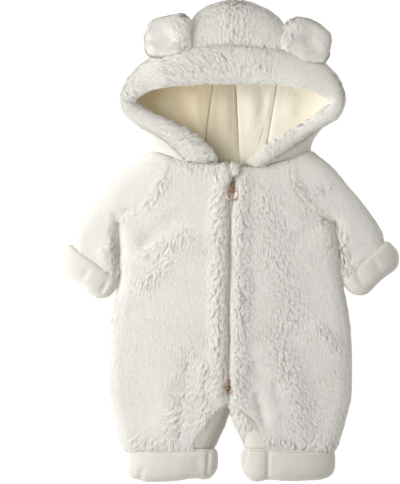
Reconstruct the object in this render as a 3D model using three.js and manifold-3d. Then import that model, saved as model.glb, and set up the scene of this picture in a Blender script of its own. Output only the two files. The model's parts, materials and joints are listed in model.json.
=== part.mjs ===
// A baby's plush snowsuit, laid flat on its back with the hood's mouth facing up.
// Millimetres, +X to the picture's right, +Y towards the hood, +Z up from the surface it lies on.
// The origin is under the middle of the suit, on that surface.
import * as THREE from "three";
import Module from "manifold-3d";

const wasm = await Module();
wasm.setup();

// Room left at each seam, so that no two pieces touch.
const SEAM_GAP = 0.3;
const HALF_GAP = SEAM_GAP / 2;

// Heights of the flat suit: two padded plush layers that lie on each other.
const SUIT_HEIGHT = 39.3;
const SEAM_HEIGHT = 16;
const BACK_SEAM_HEIGHT = 15.6;
const LAYER = 18;
const LAYER_AT_SEAM = 10;
const EDGE_ROUND = 20;
const ROUNDNESS = 2.2;
const UNDER_ROUND = EDGE_ROUND / 1.3;
const INNER_REACH = 1.6 * EDGE_ROUND;

// How sharply the roundings of two nearby edges meet.
const EDGE_BLEND = 4;

// The hood: its wall, its lining and the rolled band round the face.
const HOOD_WALL = 14;
const LINING_WALL = 2;
const HOOD_ROOM = HOOD_WALL + 2 * SEAM_GAP;
const BAND_BULGE = 10;
const BAND_UNDER = 8;
const BAND_INNER_DROP = 12;
const BAND_OUTER_DROP = 8;
const LINING_DROP = 25;

// The zip.
const SLOT_HALF = 4.5;
const TAPE_TOP = SUIT_HEIGHT - 6;
const TAPE_THICK = 1.2;
const CHAIN_HALF = 2.6;
const CHAIN_THICK = 2.4;
const ZIP_TOP_Y = 112;
const ZIP_END_Y = -236;
const TAPE_END_Y = -225;

const CUFF_HEIGHT = 46;
const CUFF_WALL = (CUFF_HEIGHT - 3.3) / 2;

const COLOURS = {
  plush: { color: 0xe9e7e1, roughness: 0.95, metalness: 0 },
  lining: { color: 0xe6dcc0, roughness: 0.9, metalness: 0 },
  cuff: { color: 0xe4dfd2, roughness: 0.9, metalness: 0 },
  tape: { color: 0xd8d2c6, roughness: 0.8, metalness: 0 },
  metal: { color: 0xc98f74, roughness: 0.3, metalness: 1 },
};

const suit = new THREE.Group();

// Plan outlines, each from the head end to the foot end. inside is the side of the cloth along the line:
// 1 is to the left of the way the line runs, -1 to the right.
const EDGES = {
  sleeveOuterLeft: {
    inside: 1,
    points: [[-115, 140], [-153, 115], [-179, 90], [-202, 65], [-224, 41], [-239, 16], [-239, -7]],
  },
  sleeveInnerLeft: { inside: -1, points: [[-168, 31], [-170.5, -12], [-168, -57]] },
  bodyLeft: {
    inside: 1,
    points: [
      [-168, 31], [-166, -12], [-166, -59], [-173, -90], [-180, -117], [-185, -152],
      [-187, -205], [-184, -245], [-177, -269], [-171, -294], [-164, -320],
    ],
  },
  legInnerLeft: {
    inside: -1,
    points: [[5, -258], [1, -269], [-3, -282], [-10, -295], [-15, -307], [-21, -320]],
  },
  legInnerRight: {
    inside: 1,
    points: [[5, -258], [10, -269], [14, -282], [18, -294], [23, -307], [27, -320]],
  },
  bodyRight: {
    inside: -1,
    points: [
      [166, 31], [170, -12], [177, -59], [183, -90], [188, -117], [191, -152],
      [192, -205], [190, -245], [184, -269], [177, -294], [168, -320],
    ],
  },
  sleeveInnerRight: { inside: 1, points: [[166, 31], [173, -12], [178, -57]] },
  sleeveOuterRight: {
    inside: -1,
    points: [[129, 140], [162, 115], [182, 90], [204, 65], [222, 41], [237, 18], [242, -1]],
  },
};

// Raglan seams, from the neck to the underarm, on the front and on the back.
const RAGLAN = {
  left: [[-86, 131], [-93, 106], [-105, 84], [-119, 64], [-131, 47], [-150, 36], [-168, 31]],
  right: [[97, 128], [97, 104], [107, 84], [120, 64], [132, 47], [149, 36], [166, 31]],
};
const SHOULDER = { left: [-115, 140], right: [129, 140] };

// Neck seams: front left and right as far as the zip, and the two halves of the back's.
const NECK_FRONT = {
  left: [[-86, 131], [-63, 124], [-18, 120.5], [5, 118]],
  right: [[97, 128], [58, 116], [38, 114.5], [14, 117]],
};
const NECK_BACK = {
  left: [[-86, 131], [-35, 117.4], [4, 117]],
  right: [[97, 128], [37, 117.4], [4, 117]],
};
const MIDDLE_LINE = [[4, 120], [4, -238], [5, -258]];

// The zip's line and the front seams of the inner-leg gussets, from the top down.
const ZIP_LINE = [[11, 120], [8.5, 92], [5, 58], [3, -28], [2, -136], [1, -217], [2, -236], [4, -247]];
const GUSSET_SEAM = {
  left: [[4, -247], [-14, -253], [-28, -272], [-37, -286], [-50, -302], [-56, -320]],
  right: [[4, -247], [20, -256], [36, -272], [49, -288], [60, -320]],
};
const CROTCH_Y = -258;
const HEM_Y = -320;

// Soft creases and swells pressed into the outer cloth: from one end to the other, half width and height.
const FOLDS = [
  { name: "left armpit drag", from: [-152, 6], to: [-82, 32], half: 15, height: -4 },
  { name: "left chest swell", from: [-136, 30], to: [-82, 54], half: 18, height: 3 },
  { name: "left side drag", from: [-150, -30], to: [-108, 4], half: 12, height: -3 },
  { name: "left hip crease", from: [-64, -166], to: [-34, -244], half: 12, height: -4 },
  { name: "left thigh swell", from: [-100, -180], to: [-86, -280], half: 30, height: 3 },
  { name: "right hip crease", from: [34, -196], to: [62, -282], half: 11, height: -4 },
  { name: "right thigh swell", from: [110, -190], to: [104, -284], half: 30, height: 3 },
  { name: "right armpit drag", from: [152, 2], to: [92, 34], half: 14, height: -3.5 },
  { name: "right chest swell", from: [128, 34], to: [76, 62], half: 20, height: 3 },
  { name: "right side drag", from: [164, -90], to: [120, -62], half: 12, height: -2.5 },
];
const FOLD_ENDS = [0.12, 0.88];
const ZIP_ROLL = { width: 30, crest: 11, height: 3, edgeDrop: 6, edge: 4, fade: 14 };
const SLOT_CLOSING = { above: 4, over: 12 };

const HOOD_SIDE = {
  left: [
    {
      name: "ear seam", floorY: 285, edgeZ: 50, bandZ: 96,
      edge: [-62, 326], band: [-58, 296], mouth: [-56, 249],
    },
    {
      name: "ear", floorY: 270, edgeZ: 50, bandZ: 94,
      edge: [-100, 308], band: [-88, 288], mouth: [-72, 247],
    },
    {
      name: "temple", floorY: 255, edgeZ: 48, bandZ: 90,
      edge: [-130, 285], band: [-118, 279], mouth: [-104, 241],
    },
    {
      name: "upper cheek", floorY: 235, edgeZ: 46, bandZ: 84,
      edge: [-149, 253], band: [-147, 260], mouth: [-131, 233],
    },
    {
      name: "corner", floorY: 215, edgeZ: 43, bandZ: 76,
      edge: [-158, 222], band: [-164, 222], mouth: [-149, 221],
    },
    {
      name: "cheek", floorY: 195, edgeZ: 39, bandZ: 68,
      edge: [-151, 196], band: [-157, 198], mouth: [-138, 208],
    },
    {
      name: "lower cheek", floorY: 175, edgeZ: 33, bandZ: 62,
      edge: [-134, 176], band: [-136, 181], mouth: [-108, 191],
    },
    {
      name: "jaw", floorY: 150, edgeZ: 25, bandZ: 56,
      edge: [-121, 158], band: [-108, 167], mouth: [-69, 172],
    },
    {
      name: "throat", floorY: 130, edgeZ: 19, bandZ: 49,
      edge: [-117, 148], band: [-86, 149], mouth: [-34, 146],
    },
    {
      name: "neck seam", floorY: 118.5, edgeZ: 16, bandZ: 42,
      edge: [-115, 141], band: [-64, 125.5], mouth: [-19, 126],
    },
  ],
  right: [
    {
      name: "ear seam", floorY: 285, edgeZ: 50, bandZ: 96,
      edge: [95, 318], band: [88, 293], mouth: [88, 247.5],
    },
    {
      name: "ear", floorY: 270, edgeZ: 50, bandZ: 94,
      edge: [118, 302], band: [112, 285], mouth: [104, 244.5],
    },
    {
      name: "temple", floorY: 255, edgeZ: 48, bandZ: 90,
      edge: [146, 284], band: [138, 277], mouth: [124, 238],
    },
    {
      name: "upper cheek", floorY: 235, edgeZ: 46, bandZ: 84,
      edge: [166, 251], band: [165, 257], mouth: [149, 228],
    },
    {
      name: "corner", floorY: 215, edgeZ: 43, bandZ: 76,
      edge: [173, 222], band: [178, 223], mouth: [166, 217],
    },
    {
      name: "cheek", floorY: 195, edgeZ: 39, bandZ: 68,
      edge: [163, 197], band: [169, 198], mouth: [152, 204],
    },
    {
      name: "lower cheek", floorY: 175, edgeZ: 33, bandZ: 62,
      edge: [145, 176], band: [141, 179], mouth: [111, 173],
    },
    {
      name: "jaw", floorY: 150, edgeZ: 25, bandZ: 56,
      edge: [132, 158], band: [110, 157], mouth: [75, 153],
    },
    {
      name: "throat", floorY: 130, edgeZ: 19, bandZ: 49,
      edge: [130, 148], band: [82, 136], mouth: [51, 136],
    },
    {
      name: "neck seam", floorY: 118.5, edgeZ: 16, bandZ: 42,
      edge: [129, 141], band: [52, 118.5], mouth: [37, 125],
    },
  ],
};

// The crown strip's lengthwise lines, from its left seam to its right one.
const CROWN = [
  { neckX: -35, edge: [-62, 326], band: [-58, 296], mouth: [-56, 249] },
  { neckX: -24, edge: [-49, 350], band: [-36, 299], mouth: [-36, 250] },
  { neckX: -12, edge: [-24, 366], band: [-13, 301], mouth: [-13, 250] },
  { neckX: 1, edge: [13, 371.5], band: [12, 301], mouth: [12, 250.5] },
  { neckX: 14, edge: [52, 363], band: [38, 299], mouth: [38, 251] },
  { neckX: 26, edge: [80, 343], band: [64, 296], mouth: [64, 250] },
  { neckX: 37, edge: [95, 318], band: [88, 293], mouth: [88, 247.5] },
];
const CROWN_EDGE_Z = 50;
const CROWN_BAND_Z = 96;
const HOOD_NECK_Y = 118.5;

// The band round the face, from the left end at the throat over the top to the right end.
const BAND = [
  { inner: [-18, 125], outer: [-63, 126], top: 52 },
  { inner: [-34, 146], outer: [-82, 146], top: 57 },
  { inner: [-69, 172], outer: [-107, 166], top: 64 },
  { inner: [-108, 191], outer: [-136, 180.5], top: 70 },
  { inner: [-139, 208], outer: [-157, 197], top: 76 },
  { inner: [-150, 221], outer: [-165, 221], top: 84 },
  { inner: [-131, 233], outer: [-150, 257], top: 93 },
  { inner: [-104, 241], outer: [-119, 279.5], top: 99 },
  { inner: [-72, 247], outer: [-86, 289.5], top: 103 },
  { inner: [-40, 250], outer: [-50, 297.5], top: 105 },
  { inner: [-5, 250], outer: [-10, 301.5], top: 106 },
  { inner: [28, 251], outer: [30, 300.5], top: 106 },
  { inner: [62, 250], outer: [66, 296.5], top: 105 },
  { inner: [92, 247], outer: [102, 289.5], top: 102 },
  { inner: [120, 240], outer: [134, 279], top: 98 },
  { inner: [148, 229], outer: [163, 259.5], top: 92 },
  { inner: [167, 217], outer: [179, 224], top: 84 },
  { inner: [153, 204], outer: [170, 196.5], top: 76 },
  { inner: [111, 173], outer: [142, 178], top: 69 },
  { inner: [74, 153], outer: [110, 156], top: 62 },
  { inner: [50, 136], outer: [80, 134.5], top: 56 },
  { inner: [36, 123], outer: [51, 118], top: 52 },
];

// Seams of the lining's four panels, seen through the mouth, from the neck to the crown.
const LINING_SEAMS = [
  [[-38, 100], [-35, 151], [-22, 248], [-12, 390]],
  [[20, 100], [17, 170], [13, 248], [10, 390]],
  [[58, 100], [63, 158], [78, 248], [92, 390]],
];

const EARS = {
  left: {
    base: [[-122, 287], [-56, 300]],
    rim: [
      [-122, 287], [-127, 306], [-126, 325], [-117, 339], [-90, 347],
      [-70, 349], [-58, 341], [-56, 321], [-56, 300],
    ],
    middle: [-91, 316], baseZ: 100, tipZ: 84,
  },
  right: {
    base: [[86, 297], [148, 276]],
    rim: [
      [86, 297], [84, 317], [91, 335], [106, 344], [126, 341],
      [144, 332], [156, 320], [157, 304], [148, 276],
    ],
    middle: [120, 312], baseZ: 100, tipZ: 82,
  },
};
const EAR_THICK = 22;

const CUFFS = {
  sleeve_cuff_left: {
    along: ["sleeveOuterLeft", "sleeveInnerLeft"], length: 45.5, overhang: [12.7, 4],
    hem: [[0, 0.8], [0.2, 1], [0.5, 0.93], [0.8, 1], [1, 0.85]], seamAt: 0.78,
  },
  sleeve_cuff_right: {
    along: ["sleeveOuterRight", "sleeveInnerRight"], length: 42.6, overhang: [8.2, 4],
    hem: [[0, 0.8], [0.22, 1], [0.5, 0.94], [0.8, 1], [1, 0.82]], seamAt: 0.74,
  },
  leg_cuff_left: {
    along: ["bodyLeft", "legInnerLeft"], length: 51.2, overhang: [-7, 6],
    hem: [[0, 0.9], [0.25, 1], [0.5, 0.98], [0.72, 0.89], [0.88, 0.93], [1, 0.78]], seamAt: 0.76,
  },
  leg_cuff_right: {
    along: ["bodyRight", "legInnerRight"], length: 51.5, overhang: [-1, 6],
    hem: [[0, 0.84], [0.2, 0.94], [0.5, 0.97], [0.7, 0.92], [0.85, 1], [1, 0.8]], seamAt: 0.73,
  },
};

// The guard folded over the zip's top end: a large lump beside the zip and a small one across it.
const CHIN_LUMPS = [
  { centre: [-6, 103], half: [12, 20], thick: 11 },
  { centre: [10.5, 113], half: [8.5, 10], thick: 8.5 },
];
const CHIN = { rim: 1.5, sink: 1 };
const CHIN_RINGS = [0.45, 0.8, 1];
const CHIN_POINTS = 14;

const SLIDERS = {
  upper: { x: 7.4, y: 84.5, hingeY: 81.5, radius: 8.5, wire: 1.1, tilt: 0.18 },
  lower: { x: 1, y: -221, hingeY: -226, radius: 4.8, wire: 0.9, tilt: 0.18 },
};
// A slider's two plates: the lower one in the slot, the upper one over the edges of the cloth.
const SLIDER_PLATES = [
  { half: 4.1, length: 13, bottom: 0, top: 2.4, chamfer: 1 },
  { half: 5.1, length: 17, bottom: 2.3, top: 3.9, chamfer: 1.4 },
];
const PLATE = SLIDER_PLATES[1].top;
const BRIDGE = { half: 1.1, length: 6.6, height: 5.6, bar: 1.3, hinge: 2.8, chamfer: 1.5, foot: 0.5 };
const RING_STEPS = { wire: 7, round: 18 };

// Small tools for numbers and curves.
const TINY = 1e-3;
const lerp = (a, b, t) => a + (b - a) * t;
const clamp = (x, low, high) => Math.min(high, Math.max(low, x));
const smooth = (x) => x * x * (3 - 2 * x);
const roundUp = (x) => (1 - (1 - clamp(x, 0, 1)) ** ROUNDNESS) ** (1 / ROUNDNESS);
const flat = ([x, y]) => new THREE.Vector2(x, y);

// A smooth plan curve through points, as a function of the share of its length.
function planCurve(points) {
  const curve = new THREE.CatmullRomCurve3(
    points.map(([x, y]) => new THREE.Vector3(x, y, 0)),
    false,
    "centripetal",
  );
  return (t) => {
    const p = curve.getPointAt(clamp(t, 0, 1));
    return new THREE.Vector2(p.x, p.y);
  };
}

// x at a given y on a line whose points run from the top down.
function xAt(points, y) {
  const below = points.findIndex((p) => p[1] <= y);
  if (below === 0) return points[0][0];
  if (below < 0) return points.at(-1)[0];
  const [a, b] = [points[below - 1], points[below]];
  return lerp(a[0], b[0], (a[1] - y) / (a[1] - b[1]));
}

// A named number of rows of a table, read as a smooth function of its place along the table.
function reading(rows, read) {
  const curve = new THREE.CatmullRomCurve3(
    rows.map((row) => new THREE.Vector3(...read(row))),
    false,
    "centripetal",
  );
  return (t) => curve.getPoint(clamp(t, 0, 1));
}

const EDGE_SAMPLES = 60;
const edgeLines = Object.fromEntries(
  Object.entries(EDGES).map(([name, { inside, points }]) => {
    const curve = planCurve(points);
    const line = Array.from({ length: EDGE_SAMPLES + 1 }, (_, i) => curve(i / EDGE_SAMPLES));
    return [name, { inside, curve, line, points: line.map((p) => p.toArray()) }];
  }),
);

// Distance from a plan point to an edge, and the way from the edge into the cloth.
function toEdge(p, { inside, line }) {
  let best = { distance: Infinity };
  for (let i = 0; i + 1 < line.length; i++) {
    const along = line[i + 1].clone().sub(line[i]);
    const t = clamp(p.clone().sub(line[i]).dot(along) / along.lengthSq(), 0, 1);
    const nearest = line[i].clone().addScaledVector(along, t);
    const distance = nearest.distanceTo(p);
    if (distance < best.distance) best = { distance, nearest, along: along.normalize() };
  }
  const away = p.clone().sub(best.nearest);
  const normal = new THREE.Vector2(-best.along.y, best.along.x).multiplyScalar(inside);
  const way = best.distance > 1 ? away.normalize() : normal;
  return { distance: best.distance, way };
}

// How far into the cloth a plan point lies, in edge roundings, and the way inwards.
function depthAt(p, names) {
  let sum = 0;
  const way = new THREE.Vector2();
  for (const name of names) {
    const edge = toEdge(p, edgeLines[name]);
    const share = Math.max(edge.distance / EDGE_ROUND, TINY) ** -EDGE_BLEND;
    sum += share;
    way.addScaledVector(edge.way, share);
  }
  return { depth: sum ** (-1 / EDGE_BLEND) - TINY, way: way.normalize() };
}

const BODY_EDGES = [
  "bodyLeft", "bodyRight", "legInnerLeft", "legInnerRight", "sleeveOuterLeft", "sleeveOuterRight",
];
const SLEEVE_EDGES = {
  left: ["sleeveOuterLeft", "sleeveInnerLeft"],
  right: ["sleeveOuterRight", "sleeveInnerRight"],
};

// The folds and the rolled zip edges, added to the outer cloth only.
function foldHeight(p) {
  let height = 0;
  for (const fold of FOLDS) {
    const [a, b] = [flat(fold.from), flat(fold.to)];
    const along = b.clone().sub(a);
    const t = clamp(p.clone().sub(a).dot(along) / along.lengthSq(), 0, 1);
    const off = a.addScaledVector(along, t).distanceTo(p) / fold.half;
    const ends = smooth(Math.sin(Math.PI * clamp(t, ...FOLD_ENDS)));
    if (off < 1) height += fold.height * smooth(1 - off) * ends;
  }
  const { width, crest, height: rise, edgeDrop, edge, fade } = ZIP_ROLL;
  const off = Math.max(0, Math.abs(p.x - xAt(ZIP_LINE, p.y)) - SLOT_HALF);
  const nearZip = smooth(clamp((p.y - ZIP_END_Y) / fade + 1, 0, 1));
  if (off < width) {
    const roll = off < crest ? smooth(off / crest) : smooth(1 - (off - crest) / (width - crest));
    height += nearZip * (rise * roll - edgeDrop * Math.max(0, 1 - off / edge) ** 2);
  }
  return height;
}

// The four faces of the flat suit at a plan point. The inner ones are moved in from the edge.
function suitFace(p, names, face) {
  const { depth, way } = depthAt(p, names);
  const shift = LAYER_AT_SEAM * Math.max(0, 1 - (depth * EDGE_ROUND) / INNER_REACH);
  const innerRise = roundUp(depth + (shift - LAYER_AT_SEAM) / EDGE_ROUND);
  const place = face.startsWith("outer") ? p : p.clone().addScaledVector(way, shift);
  const z = {
    outerTop: () => lerp(SEAM_HEIGHT, SUIT_HEIGHT, roundUp(depth)) + foldHeight(p) * roundUp(depth),
    innerTop: () => lerp(SEAM_HEIGHT, SUIT_HEIGHT - LAYER, innerRise),
    innerBottom: () => lerp(BACK_SEAM_HEIGHT, LAYER, innerRise),
    outerBottom: () => BACK_SEAM_HEIGHT * (1 - roundUp((depth * EDGE_ROUND) / UNDER_ROUND)),
  }[face]();
  return new THREE.Vector3(place.x, place.y, z);
}

// A closed solid from an outer and an inner skin that share one list of faces. The walls between the
// two skins are split from the lower end's outer point, so that both sides of a seam are split alike.
function wall(outer, inner, quads) {
  const count = outer.length;
  const triangles = [];
  const uses = new Map();
  for (const [a, b, c, d] of quads) {
    triangles.push([a, b, c], [a, c, d]);
    triangles.push([a + count, c + count, b + count], [a + count, d + count, c + count]);
    for (const [from, to] of [[a, b], [b, c], [c, d], [d, a]]) {
      const key = Math.min(from, to) + "_" + Math.max(from, to);
      uses.set(key, uses.has(key) ? null : [from, to]);
    }
  }
  for (const rim of uses.values()) {
    if (!rim) continue;
    const [from, to] = rim;
    const [p, q] = [outer[from], outer[to]];
    const toIsLower = Math.abs(p.y - q.y) > TINY ? q.y < p.y : q.x < p.x;
    if (toIsLower) triangles.push([to, from, from + count], [to, from + count, to + count]);
    else triangles.push([to, from, to + count], [from, from + count, to + count]);
  }
  return solid([...outer, ...inner], triangles);
}

// A closed manifold from points and triangles, turned to face out.
function solid(points, triangles) {
  const index = triangles.filter(([a, b, c]) => a !== b && b !== c && c !== a);
  const volume = index.reduce((sum, [a, b, c]) => {
    return sum + points[a].clone().cross(points[b]).dot(points[c]) / 6;
  }, 0);
  const faces = volume < 0 ? index.map(([a, b, c]) => [a, c, b]) : index;
  const mesh = new wasm.Mesh({
    numProp: 3,
    vertProperties: new Float32Array(points.flatMap((p) => p.toArray())),
    triVerts: new Uint32Array(faces.flat()),
  });
  return new wasm.Manifold(mesh);
}

const gridQuads = (rows, columns, closed = false) => {
  const quads = [];
  const last = closed ? columns : columns - 1;
  for (let i = 0; i + 1 < rows; i++)
    for (let j = 0; j < last; j++) {
      const next = (j + 1) % columns;
      quads.push([i * columns + j, i * columns + next, (i + 1) * columns + next, (i + 1) * columns + j]);
    }
  return quads;
};

// Names a finished manifold, colours it and puts it in the suit.
function piece(name, manifold, colour, parent = suit) {
  const made = manifold.getMesh();
  const geometry = new THREE.BufferGeometry();
  geometry.setAttribute("position", new THREE.BufferAttribute(new Float32Array(made.vertProperties), 3));
  geometry.setIndex(new THREE.BufferAttribute(new Uint32Array(made.triVerts), 1));
  geometry.computeVertexNormals();
  const mesh = new THREE.Mesh(geometry, new THREE.MeshStandardMaterial(COLOURS[colour]));
  mesh.name = name;
  parent.add(mesh);
  return mesh;
}

const RAGLAN_SHARES = [0, 0.13, 0.26, 0.39, 0.52, 0.64, 0.72, 0.82, 0.92, 1];
const ROWS_BELOW_ARM = [
  14, -8, -30, -52, -76, -100, -126, -152, -180, -206, -226, -238, -248, -258, -270, -285, -302, -320,
];

// Distances of a row's first or last points from the edge that they round over.
const EDGE_OFFSETS = [0, 2, 8, 18];
const ZIP_OFFSETS = [0, 2.5, 11, 30];
const LEG_OFFSETS = [0, 2, 8];
const MOST_OFFSET = 0.8;

// Shares of a row's length: close together at the ends that round over, even between them.
function rowShares(length, startOffsets, middle, endOffsets) {
  const fit = Math.min(1, (MOST_OFFSET * length) / (startOffsets.at(-1) + endOffsets.at(-1)));
  const start = startOffsets.map((o) => (fit * o) / length);
  const end = endOffsets.map((o) => 1 - (fit * o) / length).reverse();
  const [from, to] = [start.at(-1), end[0]];
  const between = Array.from({ length: middle }, (_, i) => lerp(from, to, (i + 1) / (middle + 1)));
  return [...start, ...between, ...end];
}

// Rows across half of the body: where each starts, at the sleeve or side seam, and the y it ends at.
function halfBodyRows(side, neckMiddleY) {
  const inwards = side === "left" ? 1 : -1;
  const seam = planCurve(RAGLAN[side]);
  const body = edgeLines[side === "left" ? "bodyLeft" : "bodyRight"].points;
  const underarmY = RAGLAN[side].at(-1)[1];
  const raglanRows = RAGLAN_SHARES.map((share) => {
    const start = seam(share);
    start.x += inwards * HALF_GAP;
    return { start, middleY: lerp(neckMiddleY, underarmY, share), bend: 1 - share };
  });
  const sideRows = ROWS_BELOW_ARM.map((y) => ({
    start: new THREE.Vector2(xAt(body, y), y),
    middleY: y,
    bend: 0,
  }));
  return [...raglanRows, ...sideRows];
}

// Plan points of half a body panel, row by row. middle gives the x where a row ends.
function halfBodyGrid(side, neckSeam, middle, endOffsets) {
  const rows = halfBodyRows(side, neckSeam.at(-1)[1]);
  const neckY = (x) => {
    const line = side === "left" ? neckSeam : [...neckSeam].reverse();
    const next = clamp(line.findIndex((p) => p[0] >= x), 1, line.length - 1);
    const [a, b] = [line[next - 1], line[next]];
    return lerp(a[1], b[1], clamp((x - a[0]) / (b[0] - a[0]), 0, 1));
  };
  const top = rows[0];
  const topEndX = middle(top.middleY);
  return rows.map(({ start, middleY, bend }) => {
    const end = new THREE.Vector2(middle(middleY), middleY);
    const shares = rowShares(start.distanceTo(end), EDGE_OFFSETS, 3, endOffsets);
    return shares.map((share) => {
      const p = start.clone().lerp(end, share);
      const across = clamp((p.x - top.start.x) / (topEndX - top.start.x), 0, 1);
      const straight = lerp(top.start.y, top.middleY, across);
      p.y += bend ** 2 * (neckY(p.x) - straight);
      return p;
    });
  });
}

// One front: from the raglan and side seam to the zip, and below the zip to the gusset.
function front(side) {
  const inwards = side === "left" ? 1 : -1;
  const innerLine = ZIP_LINE.concat(GUSSET_SEAM[side].slice(1));
  const middle = (y) => {
    const open = smooth(clamp((y - ZIP_END_Y + SLOT_CLOSING.above) / SLOT_CLOSING.over, 0, 1));
    const slot = SLOT_HALF * open + HALF_GAP;
    return xAt(innerLine, y) - inwards * slot;
  };
  const grid = halfBodyGrid(side, NECK_FRONT[side], middle, ZIP_OFFSETS);
  return facing(grid, BODY_EDGES, "outerTop", "innerTop");
}

// The inner-leg gusset of one leg, between the front's seam and the crotch or the inside of the leg.
function gusset(side) {
  const inwards = side === "left" ? 1 : -1;
  const inside = edgeLines[side === "left" ? "legInnerLeft" : "legInnerRight"].points;
  const frontSeam = ZIP_LINE.concat(GUSSET_SEAM[side].slice(1));
  const rows = ROWS_BELOW_ARM.filter((y) => y < GUSSET_SEAM[side][0][1]).map((y) => {
    const line = y >= CROTCH_Y ? MIDDLE_LINE : inside;
    const start = new THREE.Vector2(xAt(frontSeam, y) + inwards * HALF_GAP, y);
    const end = new THREE.Vector2(xAt(line, y) - inwards * HALF_GAP, y);
    const shares = rowShares(start.distanceTo(end), [0], 2, LEG_OFFSETS);
    return shares.map((share) => start.clone().lerp(end, share));
  });
  return facing(rows, BODY_EDGES, "outerTop", "innerTop");
}

// A wall over a grid of plan points, between two of the suit's faces.
function facing(grid, names, outerFace, innerFace) {
  const points = grid.flat();
  const outer = points.map((p) => suitFace(p, names, outerFace));
  const inner = points.map((p) => suitFace(p, names, innerFace));
  return wall(outer, inner, gridQuads(grid.length, grid[0].length));
}

// The back is one piece that forks into the legs. Its halves share the middle line down to the crotch.
function back() {
  const half = (side, innerEdge) => {
    const edge = edgeLines[innerEdge].points;
    const middle = (y) => (y >= CROTCH_Y ? xAt(MIDDLE_LINE, y) : xAt(edge, y));
    return halfBodyGrid(side, NECK_BACK[side], middle, EDGE_OFFSETS);
  };
  const [left, right] = [half("left", "legInnerLeft"), half("right", "legInnerRight")];
  const columns = left[0].length;
  const count = left.length * columns;
  const shared = RAGLAN_SHARES.length + ROWS_BELOW_ARM.indexOf(CROTCH_Y);
  const rightIndex = (k) => {
    const [row, column] = [Math.floor(k / columns), k % columns];
    return column === columns - 1 && row <= shared ? k : k + count;
  };
  const quads = gridQuads(left.length, columns);
  const mirrored = quads.map(([a, b, c, d]) => [d, c, b, a].map(rightIndex));
  const points = [...left.flat(), ...right.flat()];
  const outer = points.map((p) => suitFace(p, BODY_EDGES, "outerBottom"));
  const inner = points.map((p) => suitFace(p, BODY_EDGES, "innerBottom"));
  return wall(outer, inner, [...quads, ...mirrored]);
}

const NECK_SHARES = [0, 0.06, 0.24, 0.55];
const CORNER_SHARE = 6;
const SLEEVE_INNER_OFFSETS = [20, 9, 2.5, 0];
const SLEEVE_BETWEEN = 3;
const SLEEVE_INNER_SHARES = [0.14, 0.29, 0.44, 0.58, 0.72, 0.86, 1];
const SLEEVE_OUTER_SHARES = [0, 0.07, 0.15, 0.23, 0.32, 0.42, 0.54, 0.66, 0.78, 0.9, 1];
// The way from the armhole, the underarm and the inner seam into the sleeve, in degrees, row by row.
const SLEEVE_WAYS = [54, 84, 112, 146, 168, 176, 178, 176, 166, 156, 146];

// A raglan sleeve: one piece from the front seam over the shoulder to the back seam, closed under the arm.
// Its first row runs along the neck and down the raglan seam to the corner of the armhole.
function sleeve(side) {
  const inwards = side === "left" ? 1 : -1;
  const capital = side === "left" ? "Left" : "Right";
  const seam = planCurve(RAGLAN[side]);
  const seamPoints = RAGLAN_SHARES.map((share) => seam(share));
  const shoulder = flat(SHOULDER[side]);
  const head = [
    ...NECK_SHARES.map((share) => shoulder.clone().lerp(seamPoints[0], share)),
    ...seamPoints.slice(0, CORNER_SHARE + 1),
  ];
  const outerEdge = edgeLines["sleeveOuter" + capital].curve;
  const innerEdge = edgeLines["sleeveInner" + capital].curve;
  const [outerEnd, innerEnd] = [outerEdge(1), innerEdge(1)];
  const across = innerEnd.clone().sub(outerEnd).normalize();
  const down = new THREE.Vector2(across.y, -across.x).multiplyScalar(inwards);
  const innerPoints = [
    ...seamPoints.slice(CORNER_SHARE),
    ...SLEEVE_INNER_SHARES.map((share) => innerEdge(share)),
  ];
  const lastRow = SLEEVE_OUTER_SHARES.length - 1;
  const rows = SLEEVE_OUTER_SHARES.map((share, i) => {
    if (i === 0) return head;
    const [from, to] = [outerEdge(share), innerPoints[i]];
    const outerWay = i === lastRow ? across : toEdge(from, edgeLines["sleeveOuter" + capital]).way;
    const turn = (SLEEVE_WAYS[i] * Math.PI) / 180;
    const bend = new THREE.Vector2(Math.cos(turn) * inwards, Math.sin(turn));
    const innerWay = i === lastRow ? across.clone().negate() : bend;
    const start = EDGE_OFFSETS.map((offset) => from.clone().addScaledVector(outerWay, offset));
    const end = SLEEVE_INNER_OFFSETS.map((offset) => to.clone().addScaledVector(innerWay, offset));
    const between = Array.from({ length: SLEEVE_BETWEEN }, (_, k) =>
      start.at(-1).clone().lerp(end[0], (k + 1) / (SLEEVE_BETWEEN + 1)));
    return [...start, ...between, ...end];
  });
  const beforeCuff = (v) => {
    const past = new THREE.Vector2(v.x, v.y).sub(outerEnd).dot(down);
    return past > 0 ? v.sub(new THREE.Vector3(down.x * past, down.y * past, 0)) : v;
  };
  const outer = [];
  const inner = [];
  rows.forEach((row, i) => {
    const names = i === 0 ? BODY_EDGES : SLEEVE_EDGES[side];
    const placed = row.map((p) => new THREE.Vector2(p.x - inwards * HALF_GAP, p.y));
    const under = [...placed].reverse();
    outer.push(...placed.map((p) => suitFace(p, names, "outerTop")));
    outer.push(...under.map((p) => suitFace(p, names, "outerBottom")));
    inner.push(...placed.map((p) => beforeCuff(suitFace(p, names, "innerTop"))));
    inner.push(...under.map((p) => beforeCuff(suitFace(p, names, "innerBottom"))));
  });
  const columns = head.length;
  const underarmRow = RAGLAN_SHARES.length - 1 - CORNER_SHARE;
  const joined = (k) => {
    const [row, column] = [Math.floor(k / (2 * columns)), k % (2 * columns)];
    if (column === 2 * columns - 1) return k - column;
    return column === columns && row >= underarmRow ? k - 1 : k;
  };
  const quads = gridQuads(rows.length, 2 * columns)
    .filter(([a]) => a % (2 * columns) !== columns - 1)
    .map((quad) => quad.map(joined));
  return wall(outer, inner, quads);
}

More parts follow.
